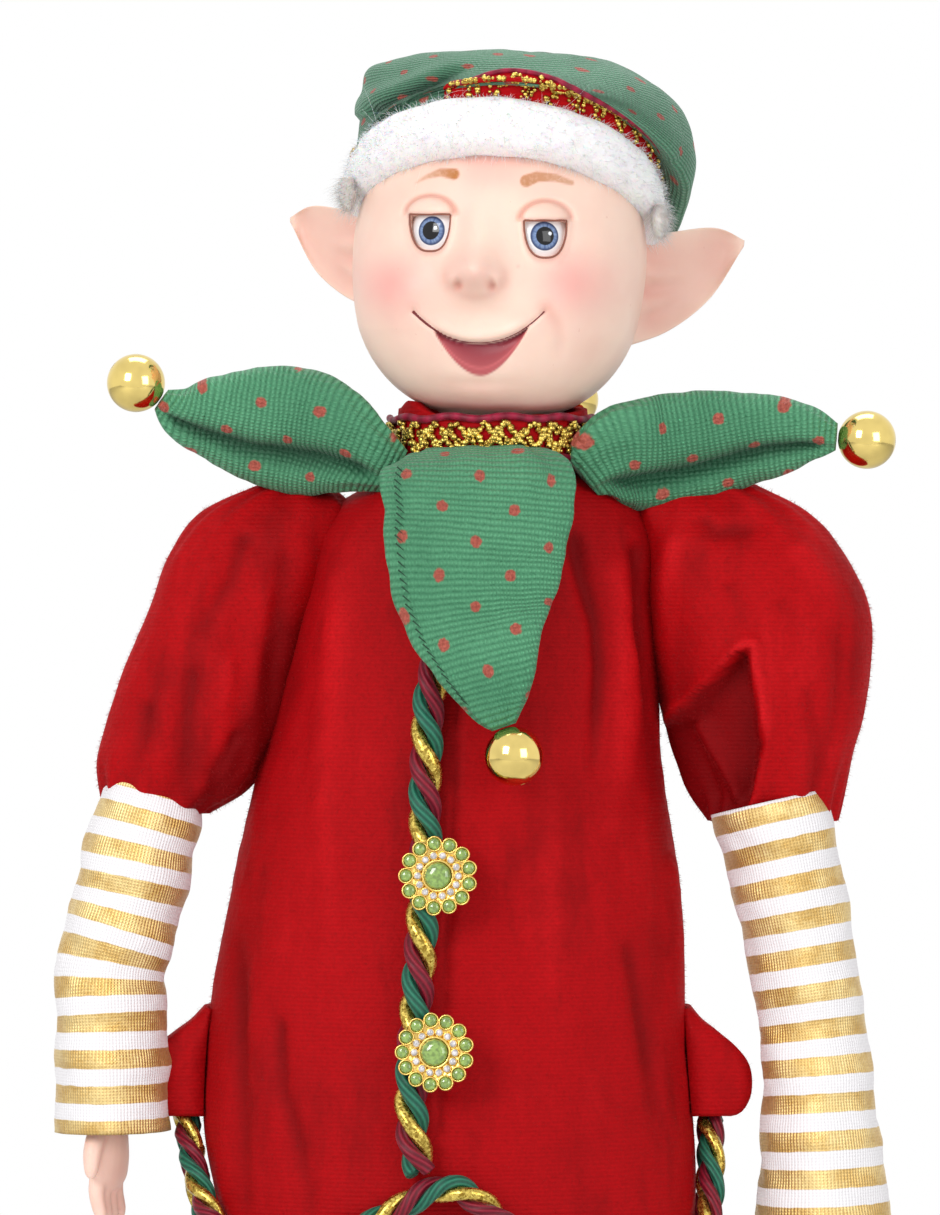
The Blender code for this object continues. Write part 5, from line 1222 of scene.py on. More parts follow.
def makePetal(name, petal):
    rows, columns = 84, 88
    table = np.array(petal["stations"], float)
    route = evenRoute(np.column_stack([overHips(table), table[:, 3:] * mm]), rows)
    t = ring(columns)
    wide, deep = route[:, 3:4] * 1.01, route[:, 4:5] * 0.96
    a, b = np.cos(t)[None], np.sin(t)[None]
    s = np.linspace(0, 1, rows)[:, None]
    body = np.abs(b) ** 0.9 * np.sign(b)
    if petal["crease"] is not None:
        wander = petal["crease"] * (1 - 0.35 * s) + 0.05 * np.sin(s * 7)
        valley = (np.exp(-np.abs((a - wander) / (0.19 + 0.06 * s)) ** 1.4) * fade(s, 0.0, 0.15)
                  * fade(s, 1.0, 0.9))
        facing = -1 if name in ("right", "left") else 1
        body = body * (1 - 0.8 * valley * (np.sign(b) == facing)) * (1 + 0.12 * bell(a - wander, 0.4))
    else:
        body = body * (0.82 + 0.18 * np.abs(a) ** 3)
    gathers = (1 + 0.07 * np.sin(9 * t + 2)[None] * fade(s, 0.3, 0.02) + 0.09 * np.sin(7 * t)[None]
               * fade(s, 0.85, 1.0))
    grid = carried(route[:, :3], wide * a * gathers, deep * body * gathers, lean=np.radians(petal["lean"]))
    grid += (unit(grid - route[:, None, :3])
             * (0.45 * softNoise(grid, 0.014, 60 + len(name)) * mm)[..., None]
             * fade(s, 1.0, 0.9)[..., None])
    v = travelled(route[:, :3])[:, None] + 0 * np.ones((1, columns + 1))
    u = wide * np.append(np.cos(t), 1.0)[None] * 1.15
    # the fold mark paints shade down in the crease's valley
    sunk = -valley * (np.sign(b) == facing) if petal["crease"] is not None else np.zeros_like(s * a)
    obj = surface("petal_cloth_" + name, grid, petalGreen, uv=np.stack([u, v], -1), marks={"fold": sunk})
    held = np.clip(1 - np.minimum(fade(s, 0.0, 0.12), fade(s, 1.0, 0.9)), 0, 1) * np.ones_like(a)
    if petal["crease"] is not None:
        held = np.maximum(held, valley)
    held = np.maximum(held, np.abs(a) ** 12 * 0.6)
    plump(obj, np.concatenate([held.ravel(), [1.0, 1.0]]), 1.6 * mm, 3.0)
    wear(obj, "green_cloth", "petal_" + name)
    return grid, route


bead = {"radius": 7.6 * mm, "bore": 1.15 * mm}


def makeBead(name, node, axis):
    low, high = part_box(node)
    centre, radius, bore = np.array((low + high) / 2), bead["radius"], bead["bore"]
    start = np.arcsin(bore / radius)
    tilt = np.linspace(start, np.pi - start, 56)
    outer = np.stack([np.sin(tilt), np.cos(tilt)], 1) * radius
    lip = np.array([[bore * 0.97, 0.93 * radius], [bore * 0.9, 0.5 * radius], [bore * 0.9, -0.5 * radius],
                    [bore * 0.97, -0.93 * radius]])
    outline = np.vstack([outer, lip[::-1]])
    angle = ring(64)
    axis = unit(np.array(axis, float))
    side = unit(np.cross(axis, [0.13, 0.9, 0.4]))
    other = np.cross(axis, side)
    grid = (centre + (side * np.cos(angle)[:, None] + other * np.sin(angle)[:, None])[:, None]
            * outline[None, :, :1]
            + axis * outline[None, :, 1:])
    wear(surface(name, grid, goldBead, aroundRows=True), "gold_bead", node)


for name, petal in petals.items():
    petalGrid, petalRoute = makePetal(name, petal)
    if name == "front":  # dark whip stitches close its left edge
        edge = petalGrid[12:76:2, 80]
        slant = unit(np.column_stack([np.full(32, 0.75), np.full(32, -0.1), np.full(32, -0.65)]))
        wear(hairs("petal_stitches", edge + [-0.0008, -0.0006, 0.0008], slant, np.full(32, 3.0 * mm),
                   0.26 * mm, np.array([0, 0.1, 0]),
                   stitchGreen, 3), "green_cloth")
    makeBead("bead_" + name, "ball_" + name, petalRoute[-1, :3] - petalRoute[-3, :3])
makeBead("bead_hat", "hat_ball", (0, 0, 1))
print("petals and beads made")

# tunic

tunic = {
    "stations": ((190, 5.5, 24, 22.5), (186, 5.5, 34, 26), (177, 4, 43.5, 30), (157, 2, 47, 34),
                 (118, -2, 52, 38),
                 (79, -4, 59, 41), (48, -6, 62.5, 43), (27, -6, 64, 45), (-3, -4, 65, 47),
                 (-40, -4, 67, 50)),
    "notch": 6.0, "sideNotch": 22.0, "point": -36.0, "shortPoint": -18.0, "wall": 2.2,
    # creases and ridges: where they run as seen from the front, how far outwards, how wide, in millimetres
    "folds": (
        ([(26.5, 478), (29.5, 462), (33.0, 452), (34.5, 440), (33.0, 415)], -2.4, 2.4),
        ([(-45.0, 476), (-47.5, 455), (-48.0, 436), (-52.0, 420)], -2.4, 2.6),
        ([(43.5, 474), (44.0, 450), (47.0, 430)], -2.0, 2.4),
        ([(40.5, 372), (44.0, 352), (47.0, 335), (50.0, 318)], -1.4, 2.4),
        ([(-50.0, 352), (-49.0, 330), (-44.0, 312), (-42.0, 300)], -1.4, 2.4),
        ([(-62.0, 378), (-60.0, 350), (-59.5, 322), (-58.0, 300)], -1.6, 2.2),
        ([(52.0, 392), (54.5, 366), (52.5, 346)], 1.4, 3.4),
        ([(37.0, 472), (39.8, 452), (41.0, 430), (38.0, 400)], 1.8, 4.2),
        ([(18.0, 430), (22.0, 400), (20.0, 370), (24.0, 340)], 0.9, 5.0),
        ([(-34.0, 470), (-36.0, 430), (-37.0, 390), (-34.0, 350)], 1.2, 4.5),
    ),
}


def hemHeight(angle):
    sideways = np.sin(angle) ** 2
    notch = tunic["notch"] + (tunic["sideNotch"] - tunic["notch"]) * sideways
    short = (np.sin(angle) < 0) & (np.cos(angle) > 0)
    drop = np.sqrt(np.sin(2 * angle) ** 2 + 0.01) - 0.1
    return notch + (np.where(short, tunic["shortPoint"], tunic["point"]) - notch) * drop


def tunicPoint(angle, height, standOff=0.0):
    row = smoothTable(tunic["stations"], height)
    x = row[..., 0] + (row[..., 1] + standOff) * np.sin(angle)
    y = -(row[..., 2] + standOff) * np.cos(angle)
    return overHips(np.stack([x, y, height + 0 * x], -1))


# creases and soft folds of the tunic, outwards in millimetres
def tunicFolds(angle, height, places):
    x, z = seenFromFront(places)
    front = fade(np.cos(angle), -0.1, 0.3)
    lift = 0.55 * softNoise(places * [1, 1, 0.35], 0.03, 70) + 0.25 * softNoise(places, 0.012, 71)
    for line, deep, width in tunic["folds"]:
        away, share = nearLine(x, z, line)
        lift += (deep * bell(away, width) * fade(share, 0.0, 0.12) * (1 - 0.5 * fade(share, 0.6, 1.0))
                 * front)
    quiet = 1 - 0.85 * bell(x + 11.0, 11.0) * front
    slit, _ = nearLine(x, z, [(-3.2, 436), (-4.0, 410), (-5.2, 380), (-6.6, 350), (-8.0, 318)])
    lift = np.clip(lift, -2.4, 2.6) * quiet - 1.0 * bell(slit, 0.9) * front
    back = 0.9 * np.sin(angle * 7) * fade(np.cos(angle), 0.0, -0.5) * fade(height, 150, 60)
    hem = fade(height - hemHeight(angle), 0.0, 7.0)
    flank = 1 - 0.9 * fade(np.abs(np.sin(angle)), 0.86, 0.97) * (lift < 0)
    return (lift * flank + back) * hem * fade(height, 190, 178)


def makeTunic():
    rows, columns = 116, 280
    angle, share = np.meshgrid(ring(columns), np.linspace(0, 1, rows))
    height = 190 + (hemHeight(angle) - 190) * share
    places = tunicPoint(angle, height)
    folds = tunicFolds(angle, height, places)
    places = tunicPoint(angle, height, folds)
    # the flanks turn from the light
    shade = np.clip(folds / 2.2, -1, 1) - 0.35 * fade(np.abs(np.sin(angle)), 0.75, 1.0)
    obj = surface("tunic_velvet", places, tunicVelvet, caps=False, marks={"fold": shade})
    thicken(obj, tunic["wall"] * mm)
    wear(obj, "red_velvet", "tunic")
    velvetNap("tunic_pile", places, 14000, 72, 0.3, [0, 0, -0.25], 0.6, 1.3)


makeTunic()
print("tunic made")

# puff sleeves

# stations are across, height and radius; folds are lines, how far outwards and how wide;
# room is what the side against the tunic gains, and turned is how much more light the puff takes
puffs = {
    "right": {
        "stations": ((-47, 187, 9), (-51, 182, 16), (-58, 170, 20.5), (-63, 156, 20.5), (-67, 140, 23),
                     (-71.5, 125, 23.5), (-76, 113, 22), (-79, 105.5, 18), (-82, 101, 13.5)),
        "room": 4.0, "turned": -0.12,
        "folds": (
            ([(-47.5, 474.0), (-50.5, 452.0), (-51.0, 432.0), (-54.0, 414.0)], -2.6, 2.2),
            ([(-58.0, 476.0), (-62.0, 462.0), (-70.0, 450.0)], -1.8, 2.4),
            ([(-66.0, 470.0), (-74.0, 454.0), (-80.0, 440.0)], 1.2, 3.2),
            ([(-72.0, 442.0), (-74.0, 424.0), (-73.0, 406.0)], -1.8, 2.2),
            ([(-53.0, 462.0), (-56.0, 446.0), (-57.0, 428.0)], 1.4, 2.6),
            ([(-84.0, 432.0), (-86.0, 418.0), (-88.0, 408.0)], -1.6, 2.2),
            ([(-79.0, 436.0), (-80.0, 420.0), (-80.0, 408.0)], 1.1, 2.2),
            ([(-63.0, 446.0), (-64.0, 428.0), (-63.0, 408.0)], 1.4, 2.8),
            ([(-60.0, 424.0), (-66.0, 412.0), (-67.0, 404.0)], -1.4, 1.8),
        ),
    },
    "left": {
        "stations": ((60, 188, 13), (66, 181, 21), (73.5, 167, 26), (76, 154, 28.5), (76.5, 141, 28.5),
                     (77, 128, 26.5), (77, 115, 23), (78, 105, 19.5), (79.5, 99, 16.5)),
        "room": 2.4, "turned": 0.12,
        "folds": (
            ([(88.0, 437.0), (91.0, 420.0), (90.0, 404.0)], -2.0, 2.2),
            ([(58.0, 479.0), (64.0, 474.0), (76.0, 476.0)], -2.6, 2.4),
            ([(97.0, 452.0), (96.0, 432.0), (93.0, 412.0)], -1.6, 2.0),
            ([(80.0, 458.0), (86.0, 450.0), (92.0, 446.0)], -1.2, 3.0),
            ([(56.0, 478.0), (53.0, 462.0), (51.5, 446.0), (53.0, 430.0)], 1.8, 2.6),
            ([(66.0, 462.0), (70.0, 455.0), (72.0, 448.0)], -1.4, 3.0),
            ([(84.0, 474.0), (92.0, 462.0), (97.0, 448.0)], 1.2, 4.0),
        ),
    },
}



def makePuff(name, puff):
    rows, columns = 96, 116
    table = np.array(puff["stations"], float)
    marks = travelled(table[:, :2])
    level = np.linspace(0, marks[-1], rows)
    values = smoothTable(np.column_stack([marks, table]), level)
    t = ring(columns)
    angle = t[None] + 0 * level[:, None]
    radius = values[:, 2:3] * 1.005
    x = values[:, :1] + radius * np.cos(angle)
    y = (radius * (0.88 - 0.25 * np.clip(-np.sin(angle), 0, 1)
                   * fade(level / marks[-1], 0.3, 0.0)[:, None]) * np.sin(angle))
    z = values[:, 1:2] + 0 * angle
    # the lower end leans with the arm and is gathered into the striped sleeve
    places = overHips(np.stack([x, y, z], -1))
    share = (level / marks[-1])[:, None]
    centre = overHips(np.stack([values[:, :1], 0 * values[:, :1], values[:, 1:2]], -1))
    out = unit(places - centre)
    sx, sz = seenFromFront(places)
    front = fade(-np.sin(angle), -0.1, 0.4)
    gather = fade(share, 0.3, 0.0) + 0.9 * fade(share, 0.72, 1.0)
    lift = (0.7 * np.sin(angle * 13 + 3 * np.sin(angle * 2)) * gather + 0.6
            * softNoise(places * [1, 1, 0.5], 0.024, 80))
    if name == "left":
        leftEdge, _ = nearLine(sx, sz, [(72.0, 445.6), (62.0, 434.0), (51.5, 424.5)])
        # below the left branch of the fold
        hollowA = fade((72.0 - sx) * 0.98 - (445.6 - sz) * 1.0, 0.6, -2.2)
        hollowB = fade(sx - (72.0 + (445.6 - sz) * 0.16 - np.clip(419.0 - sz, 0, 20) * 0.4), 0.8, -2.0)
        hollow = hollowA * hollowB * (sz < 446) * fade(sz, 398.0, 408.0)
        lift -= 7.0 * hollow * front
        lift += 2.0 * bell(leftEdge, 2.6) * front * (1 - hollow)
        ridge, _ = nearLine(sx, sz, [(73.0, 444.0), (76.0, 426.0), (73.0, 410.0), (69.0, 402.0)])
        lift += 2.2 * bell(ridge, 2.6) * front * (1 - hollow)
        inner, _ = nearLine(sx, sz, [(55.0, 424.0), (62.0, 414.0), (66.0, 406.0)])
        lift += 3.0 * bell(inner, 2.4) * front * hollow
    else:
        hollow = 0 * sx
    for line, deep, width in puff["folds"]:
        away, along = nearLine(sx, sz, line)
        lift += deep * bell(away, width) * fade(along, 0.0, 0.15) * (1 - 0.5 * along) * front
    lift += 0.8 * np.sin(angle * 8 + 1) * fade(np.sin(angle), 0.0, 0.5) * fade(share, 1.0, 0.6)
    inward = fade(np.cos(angle) * (-1 if name == "left" else 1), 0.1, 0.9)  # the side against the tunic
    room = puff["room"]
    lift = (lift * (1 - 0.8 * inward * (lift < 0) * fade(share, 0.6, 0.45)) + room * inward
            * fade(share, 0.62, 0.3) * fade(share, -0.05, 0.1))
    places = places + out * (lift * mm)[..., None]
    shade = np.clip((lift - room * inward) / 2.6, -1, 1)
    shade = shade - 0.2 * fade(share, 0.85, 1.0) + puff["turned"]
    obj = surface("puff_velvet_" + name, places, sleeveVelvet, marks={"fold": shade})
    wear(obj, "red_velvet", "puff_sleeve_" + name)
    velvetNap("puff_pile_" + name, places, 8000, 82, 0.35, [0, 0, -0.2], 0.6, 1.4)


for name, puff in puffs.items():
    makePuff(name, puff)
print("puff sleeves made")

# striped sleeves and hands

sleeves = {
    "right": {"stations": ((-82, -3, 108, 12.5), (-86, -4, 94, 14.3), (-90, -5, 76, 14.4),
                           (-94.2, -6, 60, 14.2),
                           (-94, -7, 44, 14.6), (-93.6, -7, 18, 15.0)), "period": 0.00907, "start": 0.0018,
              "flat": (0.094, 0.094)},
    "left": {"stations": ((78.5, -3, 104, 15.5), (83, -4, 84, 14.6), (87, -5, 62, 14.0), (90, -6, 40, 14.0),
                          (91.5, -7, 16, 15.6), (92.3, -7, -9, 18.2)), "period": 0.0096, "start": 0.0086,
             "flat": (0.098, 0.115)},
}
sleeveStripe = {name: stripeFinish("sleeveStripe_" + name, sleeve["period"], 0.55, sleeve["start"],
                                   tone(248, 246, 248))
                for name, sleeve in sleeves.items()}
for name, sleeve in sleeves.items():
    table = np.array(sleeve["stations"], float)
    route = evenRoute(np.column_stack([overHips(table), table[:, 3:] * mm]), 100)
    t = ring(70)
    along = np.linspace(0, 1, 100)[:, None]
    radius = route[:, 3:4] * 1.01 + (0.35 * np.sin(along * 34 + 1.2 * np.sin(t + 1)[None])
                                     * fade(along, 0.95, 0.8)
                                     + 0.4 * np.sin(3 * t + 5 * along + 1)[...]
                                     * fade(along, 0.2, 0.6)) * mm
    grid = carried(route[:, :3], radius * np.cos(t), radius * np.sin(t))
    grid += unit(grid - route[:, None, :3]) * (0.5 * softNoise(grid, 0.016, 90) * mm)[..., None]
    obj = thicken(surface("sleeve_knit_" + name, grid, sleeveStripe[name], caps=False), 1.0 * mm)
    wear(obj, "striped_cloth", "striped_sleeve_" + name)
print("striped sleeves made")


hand = {
    # share of the palm's length, half breadth, half thickness
    "palm": ((0.0, 6.2, 5.2), (0.3, 5.8, 4.8), (0.55, 7.6, 4.8), (0.85, 8.8, 4.4), (1.0, 8.0, 3.6),
             (1.1, 5.0, 2.4)),
    "palmLength": 24, "fingerGap": 4.1, "fingerRoot": 19.4, "fingers": (0.86, 1.0, 0.97, 0.8),
        "fingerLength": 18.4,
    "fingerSize": (2.3, 2.15, 1.8, 0.8), "thumbRoot": 9.6, "thumbSize": (3.0, 2.5, 1.9, 0.8),
}


# a moulded hand: palm, fingers and thumb are tapered tubes, remeshed into one skin
def makeHand(name, sign):
    low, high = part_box("hand_" + name)
    wrist = np.array([(low[0] + high[0]) / 2, -0.007, high[2]])
    spread = np.array([0.35, 0.937, 0])
    parts = []
    down = np.linspace(0, 1.1, 24)
    rows = smoothTable(hand["palm"], down)
    parts.append((wrist - np.outer(down * hand["palmLength"] * mm, [0, 0, 1]), rows[:, 0] * mm,
                  rows[:, 1] * mm))
    for finger, share in enumerate(hand["fingers"]):
        root = (wrist + spread * (finger - 1.5) * hand["fingerGap"] * mm
                - np.array([0, 0, hand["fingerRoot"] * mm]))
        reach = hand["fingerLength"] * share * mm
        path = evenRoute([root, root + [sign * 0.6 * mm, 0, -reach * 0.5],
                          root + [-sign * 1.2 * mm, 0, -reach]], 16)
        size = np.interp(np.linspace(0, 1, 16), [0, 0.5, 0.85, 1], hand["fingerSize"]) * mm
        parts.append((path, size, size))
    root = wrist - spread * 5 * mm - np.array([0, 0, hand["thumbRoot"] * mm])
    path = evenRoute([root, root - spread * 5.2 * mm - [0, 0, 6 * mm],
                      root - spread * 6.6 * mm - [0, 0, 13.4 * mm]], 16)
    size = np.interp(np.linspace(0, 1, 16), [0, 0.6, 0.9, 1], hand["thumbSize"]) * mm
    parts.append((path, size, size))
    t = ring(20)
    grids = [carried(path, -deep[:, None] * np.sin(t), wide[:, None] * np.cos(t), hint=spread) for path,
             wide, deep in parts]
    obj = stackGrids("hand_skin_" + name, grids, skinPaint)
    remesh = obj.modifiers.new("Join", "REMESH")
    remesh.mode = "VOXEL"
    remesh.voxel_size = 0.55 * mm
    smooth = obj.modifiers.new("Even", "SMOOTH")
    smooth.iterations = 6
    graph = bpy.context.evaluated_depsgraph_get()
    mesh = bpy.data.meshes.new_from_object(obj.evaluated_get(graph))
    obj.modifiers.clear()
    obj.data = mesh
    mesh.shade_smooth()
    if not mesh.materials:
        mesh.materials.append(skinPaint)
    for key, value in (("blush", 0.12), ("crease", 0.0), ("brow", 0.0), ("lip", 0.0), ("lipDeep", 0.0)):
        layer = mesh.attributes.new(key, "FLOAT", "POINT")
        layer.data.foreach_set("value", np.full(len(mesh.vertices), value, np.float32))
    wear(obj, "skin", "hand_" + name)


for name, sign in (("right", -1), ("left", 1)):
    makeHand(name, sign)
print("hands made")

# twisted cords

twist = {
    "route": ((-7.8, 141), (-9.7, 131), (-10.4, 118), (-10.9, 105), (-10.7, 92), (-11.4, 79), (-12.2, 66),
              (-13.2, 53),
              (-14, 40), (-14.4, 27), (-13.6, 17), (-12, 10.5)),
    "pitch": 24.0, "orbit": 2.45, "strand": 1.95, "standOff": 4.75,
    "hemRise": 1.98, "hemOut": 4.1, "hemOrbit": 1.95, "hemStrand": 1.75,
    "finishes": (("gold", goldThread, "gold_trim"),
                                                           ("burgundy", burgundyCord, "burgundy_cord"),
                                                           ("green", greenCord, "green_cord")),
}


# three strands wound round a path: strand k stands at turn * (k / 3 - travelled / pitch) round it
def woundCord(label, path, outward, pitch, orbit, strand, phase, closed=False, count=12, nodes=None):
    ahead = unit(np.roll(path, -1, 0) - np.roll(path, 1, 0) if closed else np.gradient(path, axis=0))
    out = unit(outward - ahead * (ahead * outward).sum(-1, keepdims=True))
    side = np.cross(ahead, out)
    distance = travelled(np.vstack([path, path[:1]]) if closed else path)[: len(path)]
    for index, (colour, finish, slotName) in enumerate(twist["finishes"]):
        spin = turn * (index / 3 - distance / pitch) + phase
        line = path + (out * np.cos(spin)[:, None] + side * np.sin(spin)[:, None]) * orbit
        t = ring(count)[None]
        ripple = 1 + 0.06 * np.sin(3 * t + distance[:, None] / (1.3 * mm))
        grid = carried(line, strand * ripple * np.cos(t), strand * 0.92 * ripple * np.sin(t), hint=out,
                       closed=closed)
        v = np.append(distance, distance[-1] + distance[1])[:, None] if closed else distance[:, None]
        uv = np.stack(np.broadcast_arrays(np.linspace(0, 1, count + 1)[None], v), -1)
        obj = surface(label + "_" + colour, grid, finish, uv=uv, aroundRows=closed)
        wear(obj, slotName, *((nodes[index],) if nodes else ()))


def onTunic(x, height, standOff):  # the front of the tunic at this place across, moved out
    angle = np.zeros_like(height)
    for _ in range(12):
        row = smoothTable(tunic["stations"], height)
        angle = np.arcsin(np.clip((x - row[..., 0]) / row[..., 1], -1, 1))
    return tunicPoint(angle, height, standOff)


routeTable = np.array(twist["route"])
path = evenRoute(onTunic(routeTable[:, 0], routeTable[:, 1], twist["standOff"]), 460)
woundCord("front_cord", path, np.broadcast_to([0.0, -1.0, 0.0], path.shape), twist["pitch"] * mm,
          twist["orbit"] * mm,
          twist["strand"] * mm, 0.0, nodes=("braid_gold", "braid_burgundy", "braid_green"))
angle = ring(240)
hemLine = tunicPoint(angle, hemHeight(angle) + twist["hemRise"], twist["hemOut"])
for _ in range(12):
    hemLine = (np.roll(hemLine, 1, 0) + 2 * hemLine + np.roll(hemLine, -1, 0)) / 4
out = hemLine - hemLine.mean(0)
out[:, 2] = 0
hemLine = hemLine + unit(out) * 0.5 * mm
path = evenRoute(hemLine, 1500, closed=True)
length = travelled(np.vstack([path, path[:1]]))[-1]
out = path - path.mean(0)
out[:, 2] = 0
pitch = length / round(length / (twist["pitch"] * mm))  # a whole number of twists
woundCord("hem_rope", path, unit(out), pitch, twist["hemOrbit"] * mm, twist["hemStrand"] * mm, 1.0,
          closed=True, count=8)
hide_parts("hem_cord")
print("cords made")

# jewelled buttons

# outlines are (radius, height) in millimetres
button = {
    "lobes": 13, "lobeRing": 8.25, "stones": 14, "stoneRing": 5.25,
    "plate": ((0.2, 0.0), (8.4, 0.0), (8.8, 0.5), (8.6, 1.1), (6.6, 1.2), (6.3, 0.9), (4.4, 0.9),
              (4.2, 1.5), (3.9, 1.9),
              (3.5, 1.2), (0.2, 1.1)),
    "lobeCup": ((0.1, 0.0), (1.9, 0.0), (2.12, 0.5), (2.05, 1.5), (1.85, 1.75), (1.6, 1.5), (1.5, 1.0),
                (0.1, 0.9)),
    "lobeStone": ((1.5, 1.0), (1.62, 1.45), (1.2, 1.95), (0.75, 2.12), (0.05, 2.14)),
    "smallCup": ((0.1, 0.7), (1.1, 0.7), (1.16, 1.2), (1.0, 1.4), (0.8, 1.2), (0.1, 1.1)),
    "smallStone": ((0.85, 1.1), (0.98, 1.4), (0.6, 1.9), (0.05, 1.95)),
    "middleStone": ((3.2, 1.2), (3.5, 1.9), (2.9, 2.55), (2.0, 2.95), (1.2, 3.05), (0.05, 3.06)),
}


# a turned and facetted piece set at a place: profile rows are (radius, height), carried round its axis
def turned(profile, count, centre, axes):
    angle = ring(count)
    profile = np.array(profile, float) * mm
    side, other, normal = axes
    spokes = side * np.cos(angle)[:, None] + other * np.sin(angle)[:, None]
    return centre + spokes[None] * profile[:, None, :1] + normal * profile[:, None, 1:]


def makeButton(name):
    low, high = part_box("button_" + name)
    gemLow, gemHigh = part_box("gem_" + name)
    plate, gem = np.array((low + high) / 2), np.array((gemLow + gemHigh) / 2)
    normal = unit(gem - plate)
    side = unit(np.cross([0, 0, 1.0], normal))
    other = np.cross(normal, side)
    axes = (side, other, normal)
    base = plate - normal * 1.0 * mm
    metal, greens, clears = [turned(button["plate"], 52, base, axes)], [], []
    for angle in ring(button["lobes"]) + turn / 2 / button["lobes"]:
        spot = base + (side * np.cos(angle) + other * np.sin(angle)) * button["lobeRing"] * mm
        metal.append(turned(button["lobeCup"], 18, spot, axes))
        greens.append(turned(button["lobeStone"], 8, spot, axes))
    for angle in ring(button["stones"]):
        spot = base + (side * np.cos(angle) + other * np.sin(angle)) * button["stoneRing"] * mm
        metal.append(turned(button["smallCup"], 12, spot, axes))
        clears.append(turned(button["smallStone"], 7, spot, axes))
    middle = turned(button["middleStone"], 12, base, axes)
    wear(stackGrids("button_setting_" + name, metal, goldCup), "button_metal", "button_" + name)
    wear(stackGrids("button_greens_" + name, greens, greenStone, False), "gem_green")
    wear(stackGrids("button_clears_" + name, clears, clearStone, False), "gem_green")
    wear(stackGrids("button_middle_" + name, [middle], greenStone, False), "gem_green", "gem_" + name)


for name in ("upper", "lower"):
    makeButton(name)
print("buttons made")

# peplum

# its profile outside the tunic: how far out and how high, in millimetres,
# from the seam down to the rolled hem
peplum = {"reach": np.radians(100), "wall": 2.0,
          "profile": ((0.2, 50), (3.0, 46.5), (7.2, 43.0), (11.0, 39.4), (13.6, 35.4), (14.0, 30.6),
                      (12.8, 26.2), (10.2, 23.2), (7.0, 23.0), (5.4, 26.0))}
profile = evenRoute([(out, 0, high) for out, high in peplum["profile"]], 32)
share, rise = np.meshgrid(np.linspace(-1, 1, 180), np.linspace(0, 1, 32))
angle = np.pi + peplum["reach"] * share
ripple = (1 + 0.10 * np.cos(9 * angle) * rise + 0.04 * np.sin(angle * 23)) * fade(np.abs(share), 1.0, 0.97)
grid = tunicPoint(angle, profile[:, 2:3] + 0 * share, 0.6 + profile[:, :1] * ripple)
obj = surface("peplum_velvet", grid, tunicVelvet, aroundColumns=False, caps=False)
thicken(obj, peplum["wall"] * mm, 0.0)
wear(obj, "red_velvet", "peplum")
velvetNap("peplum_pile", grid, 3000, 91, 0.3, 0.0, 1.4, 2.1, 0.0, aroundColumns=False)
print("peplum made")

# below the hips: breeches, stockings and boots

legs = {
    "spread": 29.0, "centre": -3.0, "stocking": 12.5, "breeches": 21.0,
    "hips": ((25, 52, 34), (10, 56, 38), (-6, 54, 37), (-16, 40, 28)),  # height, half width, half depth
    # height and share of the breeches' radius, then shares of the stocking's radius up the leg
    "breechesShares": ((4, 0.8), (0, 0.9), (-20, 1.1), (-42, 1.12), (-56, 0.95), (-62, 0.8)),
    "stockingShares": (0.8, 0.86, 1.0, 0.96, 1.04, 1.12, 1.12),
    # share of the boot's height, half width, half length, how far the middle stands to the front
    "boot": ((0.0, 14.5, 42, -17), (0.12, 16.5, 44, -18), (0.32, 16, 40, -15), (0.5, 15, 30, -7),
             (0.68, 15, 20, 1),
             (0.86, 16, 17, 3), (1.0, 16.5, 17.5, 3)),
}
legStripe = stripeFinish("legStripe", 0.0136, 0.5, 0.0, tone(248, 246, 248))
bootFelt = greenFinish("bootFelt", tone(60, 136, 92), tone(26, 84, 54), 0.5, 0.5, 0.0001)
soleRubber = plainFinish("soleRubber", tone(84, 52, 44), 0.7, 0.002)


